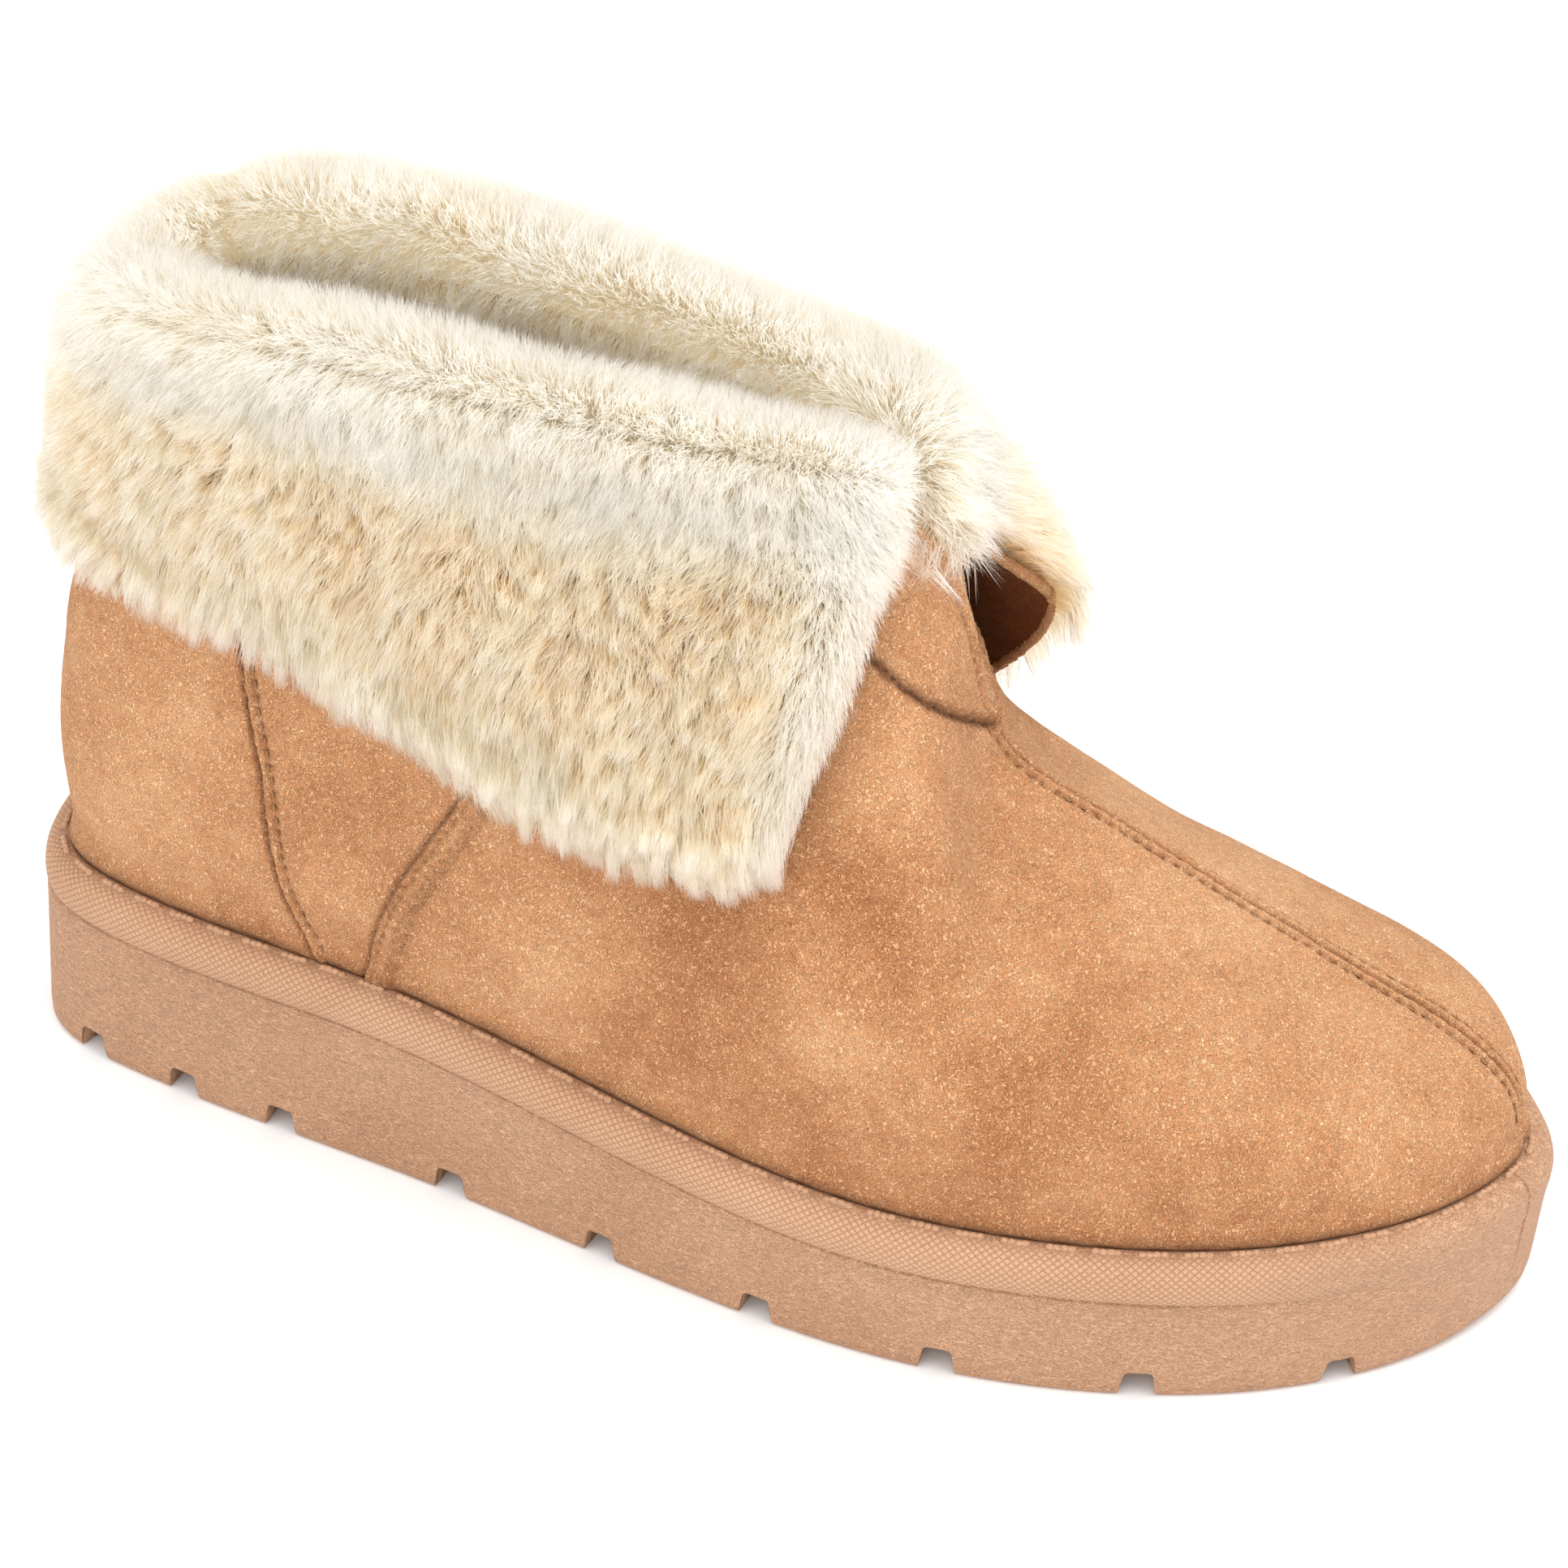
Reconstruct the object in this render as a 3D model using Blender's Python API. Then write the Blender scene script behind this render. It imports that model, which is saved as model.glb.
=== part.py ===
"""A right-foot ankle slipper with a turned-down pile cuff on a moulded platform sole.

Metres, +Z up.  +X points to the toe and +Y to the inner (medial) side.  The origin lies on
the floor, under the middle of the shoe's length.  Four sub-parts, from the floor up:

  outsole  one moulded unit: lugs, wall, rolled lip and the dished bed inside the lip
  insole   padded footbed that lies in the dish
  upper    hollow last-shaped shell, open at the collar, the front slit and underneath
  cuff     pile-lined collar folded outwards over the upper's rim, open over the slit

Every section is worked out from the sole's outline, the feather line and short tables.
"""

import math
from collections import namedtuple

import bmesh
import bpy
import numpy as np

MM = 0.001                      # the tables below are in millimetres

# ---- driving sizes ------------------------------------------------------------------
SOLE_LENGTH = 0.270
HEEL_STACK = 0.0387             # floor to the feather line, under the heel
FORE_STACK = 0.0297             # the same, under the ball and toes
STACK_FALLS_FROM = -0.075       # the top of the sole falls between these two places
STACK_FALLS_TO = 0.035
TOE_SPRING = 0.0020             # lift of the tread at the very toe
TOE_SPRING_FROM = 0.108
FEATHER_INSET = 0.0057          # outline to the foot of the upper
DISH_DEPTH = 0.0042             # bed of the dish under the feather line
FIT_GAP = 0.0003                # room left between two pieces that touch
WALL = 0.0060                   # suede and the pile lining behind it
GROOVE_DEPTH = 0.0038
GROOVE_TOP_WIDTH = 0.0040
GROOVE_FLOOR_WIDTH = 0.0062
GROOVE_BEND = 0.33              # how far a groove keeps its heading at each edge
GROOVE_RUN_OUT = 0.0050         # its cutter passes the edges by this much
GROOVE_RUN_UNDER = 0.0030       # and the tread by this much

# ---- mesh fineness ------------------------------------------------------------------
SOLE_STATIONS = 46              # along each side, heel to toe
SLIT_STATIONS = 27              # along each side of the upper, heel to the slit's foot
SEAM_STATIONS = 14              # and from there to the toe
UPPER_STEPS = 12                # up each section
CUFF_LATERAL_STATIONS = 23      # the cuff uses the upper's own stations
CUFF_MEDIAL_STATIONS = 24
CUFF_STEPS = 8
CROWN_STEPS = 5
GROOVE_STEPS = 8
FINE_STEPS = 200                # samples used to measure along a curve

LATERAL = -1.0
MEDIAL = 1.0
TOE_TIP_Y = 0.0050              # the toe leans to the inner side

# The sole's outline: distance from the heel's back, then the half-width on each side.
Width = namedtuple("Width", "from_heel half_width")
LATERAL_WIDTHS = [
    Width(4, 19.6), Width(20, 29.0), Width(45, 34.1), Width(80, 38.8), Width(115, 45.4),
    Width(150, 51.4), Width(178, 52.7), Width(205, 48.8), Width(230, 40.0),
    Width(250, 27.1), Width(263, 12.9),
]
MEDIAL_WIDTHS = [
    Width(4, 17.0), Width(20, 31.0), Width(45, 36.5), Width(80, 34.0), Width(115, 33.0),
    Width(150, 39.0), Width(185, 47.0), Width(215, 46.0), Width(240, 38.6),
    Width(257, 28.0), Width(266, 17.0),
]

# The sole's profile, from the tread up and into the dish.  "out" is measured from the
# outline, "back" is its value at the back of the heel, where the wall flares, and "rise"
# from the floor or from the feather line.
Ring = namedtuple("Ring", "name out back base rise")
SOLE_PROFILE = [
    Ring("tread edge", -1.2, 0.1, "floor", 0.0),
    Ring("tread round", -0.1, 1.4, "floor", 1.2),
    Ring("low wall", 0.0, 1.4, "floor", 5.5),
    Ring("high wall", 0.0, 0.6, "feather", -10.0),
    Ring("under lip", -0.1, 0.4, "feather", -8.2),
    Ring("lip foot", 0.9, 0.6, "feather", -7.5),
    Ring("lip side", 1.5, 0.7, "feather", -4.6),
    Ring("lip shoulder", 0.9, 0.2, "feather", -1.7),
    Ring("lip crown", -1.4, -1.7, "feather", 0.3),
    Ring("lip top", -3.8, -3.8, "feather", 0.2),
    Ring("dish edge", -5.4, -5.4, "feather", -0.9),
    Ring("dish foot", -5.4, -5.4, "feather", -4.2),
]
# The footbed's own profile, inset from the upper's lining and measured from the dish's bed.
Inset = namedtuple("Inset", "name inset rise")
INSOLE_PROFILE = [
    Inset("underside", 1.2, 0.0), Inset("edge", 0.2, 1.6), Inset("top edge", 0.6, 4.6),
    Inset("top", 2.8, 6.0),
]
HEEL_FLARE_REACH = 0.030        # the wall's flare has gone this far forward of the heel
NORMAL_REACH = 0.0040           # the outline's normals are read over this distance each way

# Where the tread's cross grooves meet each edge, as distances from the heel's back.
Groove = namedtuple("Groove", "lateral medial")
GROOVES = [
    Groove(14.6, 14.6), Groove(34.0, 34.0), Groove(54.0, 54.0), Groove(88.2, 88.2),
    Groove(118.2, 118.2), Groove(148.3, 149.5), Groove(181.0, 184.0), Groove(214.3, 219.0),
    Groove(245.3, 249.0),
]

# Sections of the upper.  "along" runs round the feather line from heel (0) to toe (1);
# top_x, top_y and top_z place the section's top: the folded rim round the heel and ankle,
# then the slit's edge, then the seam down the middle of the vamp.  The leans are the
# section's slopes from the vertical, outwards at the foot and inwards at the top, and the
# pulls say how far each slope carries, as a share of the section's span.  "tilt" turns the
# crown at the seam, up towards the inner side, and "inner_full" squares that side's sections.
Section = namedtuple("Section", "along top_x top_y top_z foot_lean foot_pull top_lean top_pull "
                                "tilt inner_full")
SECTIONS = [
    Section(0.00, 18.5, 0.0, 146, 9, 0.42, 10, 0.30, 0, 0.0),
    Section(0.08, 21.5, 9.5, 147.5, 10, 0.42, 8, 0.30, 0, 0.0),
    Section(0.16, 32, 16.0, 150, 12, 0.42, 3, 0.30, 0, 0.0),
    Section(0.25, 53, 19.0, 152, 12, 0.40, 0, 0.30, 0, 0.0),
    Section(0.35, 80, 19.0, 151, 12, 0.38, 0, 0.30, 0, 0.0),
    Section(0.45, 109, 17.0, 148.5, 13, 0.36, 3, 0.30, 0, 0.0),
    Section(0.53, 137, 12.5, 145, 14, 0.36, 12, 0.30, 0, 0.0),
    Section(0.585, 157, 7.5, 138, 14, 0.38, 27, 0.30, 0, 0.0),
    Section(0.635, 165, 3.2, 118, 14, 0.40, 45, 0.31, 0, 0.0),
    Section(0.685, 170, 0.0, 97, 14, 0.43, 61, 0.34, 0, 0.0),
    Section(0.745, 186, 0.0, 85, 14, 0.45, 72, 0.33, -3, 0.0),
    Section(0.805, 206, 0.0, 74.5, 14, 0.47, 80, 0.33, -3, 0.0),
    Section(0.87, 227, 0.0, 64, 16, 0.50, 86, 0.38, 2, 0.03),
    Section(0.93, 246.5, 0.0, 55, 22, 0.54, 87, 0.47, 6, 0.04),
    Section(0.965, 258.4, 0.0, 47.5, 27, 0.54, 87, 0.50, 7, 0.04),
    Section(0.985, 264.0, 0.0, 39.5, 28, 0.52, 87, 0.50, 6, 0.02),
    Section(1.00, 264.3, 0.0, 29.8, 28, 0.50, 87, 0.46, 4, 0.0),
]
SLIT_FOOT = 0.685               # "along" where the slit ends and the seam begins
CROSSWAYS_FROM = 0.45           # "along" where the tops start to slope straight across
CROSSWAYS_SPAN = 0.21
SEAM_LEANS_FROM = 150           # the seam moves to the inner side between these distances
SEAM_LEANS_TO = 262

# The turned-down cuff, from its front edge on the outer side round the heel to its front
# edge on the inner side.  "drop" is its length down the shaft, "stand" how far its hem
# hangs off the shaft, "lead" how far the hem runs forward of the fold, "thick" and "hem"
# its thickness at the fold and at the hem, and "crown" its height above the upper's rim.
Turn = namedtuple("Turn", "side along drop stand lead thick hem crown")
CUFF_TURNS = [
    Turn(LATERAL, 0.584, 59, 3.0, -12, 12.0, 8.5, 8.6),
    Turn(LATERAL, 0.53, 64, 4.5, -6, 13.0, 9.5, 9.4),
    Turn(LATERAL, 0.45, 64, 5.0, 0, 13.5, 10.0, 9.7),
    Turn(LATERAL, 0.35, 57, 4.5, 0, 13.5, 9.5, 9.7),
    Turn(LATERAL, 0.20, 45.5, 3.0, 0, 12.5, 7.0, 9.0),
    Turn(LATERAL, 0.00, 41, 0.5, 0, 12.0, 3.5, 8.6),
    Turn(MEDIAL, 0.20, 45.5, 3.0, 0, 12.5, 7.0, 9.0),
    Turn(MEDIAL, 0.35, 56, 5.0, 0, 13.5, 9.5, 9.7),
    Turn(MEDIAL, 0.45, 62, 6.0, 0, 14.0, 10.0, 9.8),
    Turn(MEDIAL, 0.53, 65, 7.0, 3, 17.0, 11.0, 9.2),
    Turn(MEDIAL, 0.57, 62, 9.0, 7, 20.0, 12.0, 8.8),
    Turn(MEDIAL, 0.59, 55, 11.0, 10, 21.5, 12.0, 8.6),
    Turn(MEDIAL, 0.609, 42, 13.0, 10, 21.5, 11.5, 8.6),
]
CUFF_BELLY = 0.0025             # extra thickness half-way down the turned side
HEM_ROUND = 0.0040              # the hem's round edge
RIM_LIFT = 0.0007               # the fold clears the upper's rim by this much
CUFF_GAP = 2 * FIT_GAP          # and stands this far off the shaft
SLOPE_REACH = 0.0020            # slopes along the shaft are read over this distance


# ---- curves -------------------------------------------------------------------------
def spline(knots, values, at, closed=False):
    """Cubic spline through values at knots: natural at its ends, or one closed loop."""
    knots = np.asarray(knots, float)
    values = np.asarray(values, float)
    at = np.asarray(at, float)
    spans = np.diff(knots)
    count = len(knots)
    slopes = np.diff(values, axis=0) / spans.reshape((-1,) + (1,) * (values.ndim - 1))
    matrix = np.eye(count)
    right = np.zeros_like(values)
    for i in range(1, count - 1):
        matrix[i, i - 1:i + 2] = spans[i - 1], 2 * (spans[i - 1] + spans[i]), spans[i]
        right[i] = 6 * (slopes[i] - slopes[i - 1])
    if closed:
        matrix[0] = 0
        matrix[0, [0, 1, count - 2]] = 2 * (spans[0] + spans[-1]), spans[0], spans[-1]
        right[0] = 6 * (slopes[0] - slopes[-1])
        matrix[-1] = 0
        matrix[-1, [0, -1]] = 1, -1
    bends = np.linalg.solve(matrix, right)
    i = np.clip(np.searchsorted(knots, at, side="right") - 1, 0, count - 2)
    shape = (-1,) + (1,) * (values.ndim - 1)
    h = spans[i].reshape(shape)
    a = ((knots[i + 1] - at) / spans[i]).reshape(shape)
    b = 1 - a
    return (a * values[i] + b * values[i + 1]
            + ((a ** 3 - a) * bends[i] + (b ** 3 - b) * bends[i + 1]) * h * h / 6)


def steady(knots, values, at):
    """Monotone cubic through values at knots, which never overshoots a row."""
    knots = np.asarray(knots, float)
    values = np.asarray(values, float)
    spans = np.diff(knots)
    slopes = np.diff(values) / spans
    tangents = np.zeros(len(knots))
    for i in range(1, len(knots) - 1):
        if slopes[i - 1] * slopes[i] > 0:
            w0 = 2 * spans[i] + spans[i - 1]
            w1 = spans[i] + 2 * spans[i - 1]
            tangents[i] = (w0 + w1) / (w0 / slopes[i - 1] + w1 / slopes[i])
    tangents[0], tangents[-1] = slopes[0], slopes[-1]
    i = np.clip(np.searchsorted(knots, at, side="right") - 1, 0, len(knots) - 2)
    s = (at - knots[i]) / spans[i]
    return ((1 + 2 * s) * (1 - s) ** 2 * values[i] + s * (1 - s) ** 2 * spans[i] * tangents[i]
            + s * s * (3 - 2 * s) * values[i + 1] + s * s * (s - 1) * spans[i] * tangents[i + 1])


def smooth_step(x, start, end):
    s = min(max((x - start) / (end - start), 0.0), 1.0)
    return s * s * (3 - 2 * s)


# ---- sole outline -------------------------------------------------------------------
def outline_sides(samples=4000):
    """Each side of the sole's outline from the heel's back to the toe, finely sampled."""
    loop = [(0.0, 0.0)]
    loop += [(w.from_heel * MM, -w.half_width * MM) for w in LATERAL_WIDTHS]
    loop += [(SOLE_LENGTH, TOE_TIP_Y)]
    loop += [(w.from_heel * MM, w.half_width * MM) for w in reversed(MEDIAL_WIDTHS)]
    loop = np.array(loop + [loop[0]])
    loop[:, 0] -= SOLE_LENGTH / 2
    chords = np.sqrt(np.linalg.norm(np.diff(loop, axis=0), axis=1))
    knots = np.concatenate([[0], np.cumsum(chords)])
    path = spline(knots, loop, np.linspace(0, knots[-1], samples + 1), closed=True)
    heel = np.argmin(path[:, 0])
    path = np.roll(path[:-1], -heel, axis=0)
    toe = np.argmax(path[:, 0])
    outer = path[:toe + 1]
    inner = np.concatenate([path[:1], path[:toe - 1:-1]])
    return {LATERAL: outer, MEDIAL: inner}


def lengths_along(path):
    return np.concatenate([[0], np.cumsum(np.linalg.norm(np.diff(path, axis=0), axis=1))])


OUTLINE = outline_sides()
OUTLINE_LENGTHS = {side: lengths_along(path) for side, path in OUTLINE.items()}


def edge_point(side, along, out=0.0):
    """Plan position and outward normal at a share of the way round one side."""
    path = OUTLINE[side]
    lengths = OUTLINE_LENGTHS[side]
    reach = along * lengths[-1]
    place = np.array([np.interp(reach, lengths, path[:, k]) for k in (0, 1)])
    ahead = np.array([np.interp(reach + NORMAL_REACH, lengths, path[:, k]) for k in (0, 1)])
    behind = np.array([np.interp(reach - NORMAL_REACH, lengths, path[:, k]) for k in (0, 1)])
    if along <= 0.0:
        normal = np.array([-1.0, 0.0])
    elif along >= 1.0:
        normal = np.array([1.0, 0.0])
    else:
        tangent = (ahead - behind) / np.linalg.norm(ahead - behind)
        normal = side * np.array([-tangent[1], tangent[0]])
    return place + normal * out, normal


def share_at(side, from_heel):
    """Share of the way round one side at a distance from the heel's back."""
    path = OUTLINE[side]
    lengths = OUTLINE_LENGTHS[side]
    return float(np.interp(from_heel - SOLE_LENGTH / 2, path[:, 0], lengths / lengths[-1]))


def feather_height(x):
    """Height of the line where the upper meets the sole."""
    fall = smooth_step(x, STACK_FALLS_FROM, STACK_FALLS_TO)
    return HEEL_STACK + (FORE_STACK - HEEL_STACK) * fall


def tread_height(x):
    """Height of the tread, flat from heel to ball and sprung at the toe."""
    share = (x - TOE_SPRING_FROM) / (SOLE_LENGTH / 2 - TOE_SPRING_FROM)
    return TOE_SPRING * max(0.0, share) ** 2


# ---- upper --------------------------------------------------------------------------
def section_at(along):
    """The upper's section values at a share of the way along, between the table's rows."""
    knots = [row.along for row in SECTIONS]
    at = np.array([along])
    found = {}
    for name in Section._fields[1:]:
        column = [getattr(row, name) for row in SECTIONS]
        curve = steady if name == "top_y" else spline
        found[name] = float(curve(knots, column, at)[0])
    return Section(along, **found)


def upper_frame(side, along):
    """Foot, top and the two slopes of the upper's section on one side."""
    row = section_at(along)
    foot_plan, normal = edge_point(side, along, -FEATHER_INSET)
    foot = np.array([foot_plan[0], foot_plan[1], feather_height(foot_plan[0])])
    middle = TOE_TIP_Y * smooth_step(row.top_x, SEAM_LEANS_FROM, SEAM_LEANS_TO)
    top_x = row.top_x * MM - SOLE_LENGTH / 2
    top = np.array([top_x, side * row.top_y * MM + middle, row.top_z * MM])
    outward = np.array([normal[0], normal[1], 0.0])
    across = np.array([0.0, side, 0.0])
    turn = smooth_step(along, CROSSWAYS_FROM, CROSSWAYS_FROM + CROSSWAYS_SPAN)
    inward = -(outward * (1 - turn) + across * turn)
    inward /= np.linalg.norm(inward)
    up = np.array([0.0, 0.0, 1.0])
    foot_lean = math.radians(row.foot_lean)
    top_lean = math.radians(row.top_lean + side * row.tilt)
    foot_slope = up * math.cos(foot_lean) + outward * math.sin(foot_lean)
    top_slope = up * math.cos(top_lean) + inward * math.sin(top_lean)
    return row, foot, top, foot_slope, top_slope, outward


def upper_section(side, along, steps):
    """Points up the upper's outer face, from the feather line to the section's top."""
    row, foot, top, foot_slope, top_slope, outward = upper_frame(side, along)
    span = np.linalg.norm(top - foot)
    fuller = row.inner_full if side == MEDIAL else 0.0
    second = foot + foot_slope * span * (row.foot_pull + fuller)
    third = top - top_slope * span * (row.top_pull + fuller)
    t = np.linspace(0, 1, steps)[:, None]
    return (foot * (1 - t) ** 3 + second * 3 * t * (1 - t) ** 2
            + third * 3 * t * t * (1 - t) + top * t ** 3)


def material(name, colour, roughness):
    finish = bpy.data.materials.new(name)
    finish.use_nodes = True
    shader = finish.node_tree.nodes["Principled BSDF"]
    shader.inputs["Base Color"].default_value = (*colour, 1.0)
    shader.inputs["Roughness"].default_value = roughness
    shader.inputs["Metallic"].default_value = 0.0
    return finish


def new_object(name, mesh_builder, finish):
    mesh = bpy.data.meshes.new(name)
    mesh_builder.to_mesh(mesh)
    mesh_builder.free()
    mesh.materials.append(finish)
    mesh.shade_smooth()
    mesh.set_sharp_from_angle(angle=math.radians(40))
    made = bpy.data.objects.new(name, mesh)
    bpy.context.collection.objects.link(made)
    return made


def skin(bm, rows):
    """Quads between rows of vertices; a quad with merged corners becomes a triangle."""
    for low, high in zip(rows, rows[1:]):
        for a, b, c, d in zip(low, low[1:], high[1:], high):
            corners = []
            for vertex in (a, b, c, d):
                if vertex not in corners:
                    corners.append(vertex)
            if len(corners) > 2:
                bm.faces.new(corners)


def shares(count, start=0.0, end=1.0):
    return [start + (end - start) * i / (count - 1) for i in range(count)]


def build_upper():
    """One shell: both sides' sections joined at the heel, the vamp seam and the toe."""
    bm = bmesh.new()
    alongs = shares(SLIT_STATIONS + 1, 0.0, SLIT_FOOT)
    alongs += shares(SEAM_STATIONS + 1, SLIT_FOOT, 1.0)[1:]
    rim_drop = np.array([0.0, 0.0, DISH_DEPTH - FIT_GAP])

    def column_at(side, along):
        points = upper_section(side, along, UPPER_STEPS)
        return [bm.verts.new(points[0] - rim_drop)] + [bm.verts.new(p) for p in points]

    lateral = [column_at(LATERAL, along) for along in alongs[:-1]]
    toe_points = upper_section(LATERAL, 1.0, UPPER_STEPS)
    toe_low = bm.verts.new(toe_points[0] - rim_drop)
    toe_high = bm.verts.new(toe_points[0])
    toe = [toe_low] + [toe_high] * UPPER_STEPS
    medial = [lateral[0]]
    for index in range(1, len(alongs) - 1):
        column = column_at(MEDIAL, alongs[index])
        if index >= SLIT_STATIONS:
            bm.verts.remove(column[-1])
            column[-1] = lateral[index][-1]
        medial.append(column)
    skin(bm, lateral + [toe])
    skin(bm, medial + [toe])
    bmesh.ops.recalc_face_normals(bm, faces=bm.faces[:])
    widest = max(bm.faces, key=lambda face: face.calc_center_median().y)
    if widest.normal.y < 0:
        bmesh.ops.reverse_faces(bm, faces=bm.faces[:])
    shell = new_object("upper", bm, material("tan suede", (0.56, 0.30, 0.125), 0.9))
    wall = shell.modifiers.new("lined wall", "SOLIDIFY")
    wall.thickness = WALL
    wall.offset = -1.0
    wall.use_rim = True
    wall.use_even_offset = False
    return shell


# ---- sole ---------------------------------------------------------------------------
def ring_point(side, along, ring):
    plan, normal = edge_point(side, along)
    heel = 1 - smooth_step(plan[0], -SOLE_LENGTH / 2, -SOLE_LENGTH / 2 + HEEL_FLARE_REACH)
    plan = plan + normal * (ring.out + (ring.back - ring.out) * heel) * MM
    if ring.base == "floor":
        height = tread_height(plan[0]) + ring.rise * MM
    else:
        height = feather_height(plan[0]) + ring.rise * MM
    return plan[0], plan[1], height


def build_loft(bm, rings):
    """A closed body from rings round the outline, capped across at both ends."""
    alongs = shares(SOLE_STATIONS)
    rows = []
    for ring in rings:
        lateral = [bm.verts.new(ring_point(LATERAL, a, ring)) for a in alongs]
        medial = [bm.verts.new(ring_point(MEDIAL, a, ring)) for a in alongs[1:-1]]
        rows.append((lateral, [lateral[0]] + medial + [lateral[-1]]))
    for (low_l, low_m), (high_l, high_m) in zip(rows, rows[1:]):
        skin(bm, [low_l, high_l])
        skin(bm, [low_m, high_m])
    for lateral, medial in (rows[0], rows[-1]):
        skin(bm, [lateral, medial])
    bmesh.ops.recalc_face_normals(bm, faces=bm.faces[:])


def groove_path(groove):
    """A groove's middle line in plan, square to the outline where it leaves each edge."""
    lateral_share = share_at(LATERAL, groove.lateral * MM)
    medial_share = share_at(MEDIAL, groove.medial * MM)
    start, start_out = edge_point(LATERAL, lateral_share)
    end, end_out = edge_point(MEDIAL, medial_share)
    bend = np.linalg.norm(end - start) * GROOVE_BEND
    second = start - start_out * bend
    third = end - end_out * bend
    path = [start + start_out * GROOVE_RUN_OUT]
    for t in shares(GROOVE_STEPS + 1):
        path.append(start * (1 - t) ** 3 + second * 3 * t * (1 - t) ** 2
                    + third * 3 * t * t * (1 - t) + end * t ** 3)
    path.append(end + end_out * GROOVE_RUN_OUT)
    return path


def groove_cutter(index, groove):
    """A bar, wider at the bottom, that sweeps across the tread along a groove's path."""
    path = groove_path(groove)
    flare = (GROOVE_FLOOR_WIDTH - GROOVE_TOP_WIDTH) / GROOVE_DEPTH
    top_half = GROOVE_TOP_WIDTH / 2
    bottom_half = top_half + flare * (GROOVE_DEPTH + GROOVE_RUN_UNDER) / 2
    corners = [
        (-bottom_half, -GROOVE_RUN_UNDER), (-top_half, GROOVE_DEPTH),
        (top_half, GROOVE_DEPTH), (bottom_half, -GROOVE_RUN_UNDER),
    ]
    bm = bmesh.new()
    rows = []
    for i, place in enumerate(path):
        ahead = path[min(i + 1, len(path) - 1)] - path[max(i - 1, 0)]
        ahead /= np.linalg.norm(ahead)
        beside = np.array([-ahead[1], ahead[0]])
        row = []
        for reach, rise in corners:
            spot = place + beside * reach
            row.append(bm.verts.new((spot[0], spot[1], tread_height(place[0]) + rise)))
        rows.append(row)
    skin(bm, [row + row[:1] for row in rows])
    bm.faces.new(rows[0])
    bm.faces.new(rows[-1])
    bmesh.ops.recalc_face_normals(bm, faces=bm.faces[:])
    mesh = bpy.data.meshes.new("groove_cutter")
    bm.to_mesh(mesh)
    bm.free()
    cutter = bpy.data.objects.new(f"groove_cutter_{index}", mesh)
    bpy.context.collection.objects.link(cutter)
    cutter.hide_render = True
    cutter.display_type = "WIRE"
    return cutter


def build_outsole():
    bm = bmesh.new()
    build_loft(bm, SOLE_PROFILE)
    sole = new_object("outsole", bm, material("moulded sole", (0.55, 0.32, 0.20), 0.65))
    for index, groove in enumerate(GROOVES, start=1):
        cut = sole.modifiers.new(f"groove {index}", "BOOLEAN")
        cut.operation = "DIFFERENCE"
        cut.solver = "EXACT"
        cut.object = groove_cutter(index, groove)
    return sole


def build_insole():
    """The footbed: flat underneath, with a crowned edge, inside the upper's wall."""
    inset = (FEATHER_INSET + WALL + FIT_GAP) / MM
    bed = (FIT_GAP - DISH_DEPTH) / MM
    rings = [Ring(row.name, -inset - row.inset, -inset - row.inset, "feather", bed + row.rise)
             for row in INSOLE_PROFILE]
    bm = bmesh.new()
    build_loft(bm, rings)
    return new_object("insole", bm, material("cream footbed", (0.80, 0.70, 0.52), 0.95))


# ---- cuff ---------------------------------------------------------------------------
def turn_at(side, along):
    """The cuff's row of sizes between the table's rows, in metres."""
    knots = [row.side * row.along for row in CUFF_TURNS]
    at = np.array([side * along])
    columns = [[getattr(row, name) for row in CUFF_TURNS] for name in Turn._fields[2:]]
    return [float(spline(knots, column, at)[0]) * MM for column in columns]


def cuff_section(side, along):
    """The closed outline of the cuff's section, from the hem's inside, over the rim, down."""
    drop, stand, lead, thick_fold, thick_hem, crown_height = turn_at(side, along)
    points = upper_section(side, along, FINE_STEPS)
    lengths = lengths_along(points)
    outward = upper_frame(side, along)[5]
    inside = []
    outside = []
    for share in shares(CUFF_STEPS):
        reach = lengths[-1] - drop * share
        spot = np.array([np.interp(reach, lengths, points[:, k]) for k in range(3)])
        above = np.array([np.interp(reach + SLOPE_REACH, lengths, points[:, k]) for k in range(3)])
        below = np.array([np.interp(reach - SLOPE_REACH, lengths, points[:, k]) for k in range(3)])
        rise = (above - below) / np.linalg.norm(above - below)
        normal = outward - rise * outward.dot(rise)
        normal /= np.linalg.norm(normal)
        forward = np.array([1.0, 0.0, 0.0]) * lead * share ** 2
        spot = spot + forward + normal * (CUFF_GAP + stand * share ** 1.5)
        thick = thick_fold + (thick_hem - thick_fold) * share
        thick += CUFF_BELLY * math.sin(math.pi * share)
        inside.append(spot)
        outside.append(spot + normal * thick)
        if share == 0:
            rim_normal, rim_rise = normal, rise
    inner = inside[0] - rim_normal * (WALL + CUFF_GAP) + rim_rise * RIM_LIFT
    lifted = inside[0] + rim_rise * RIM_LIFT
    centre = (inner + outside[0]) / 2
    half = (outside[0] - inner) / 2
    crown = []
    for turn in shares(CROWN_STEPS + 2)[1:-1]:
        angle = math.pi * turn
        crown.append(centre - half * math.cos(angle) + rim_rise * crown_height * math.sin(angle))
    hem_low = (inside[-1] + outside[-1]) / 2 - rise * HEM_ROUND
    return inside[::-1][:-1] + [lifted, inner] + crown + outside + [hem_low]


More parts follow.
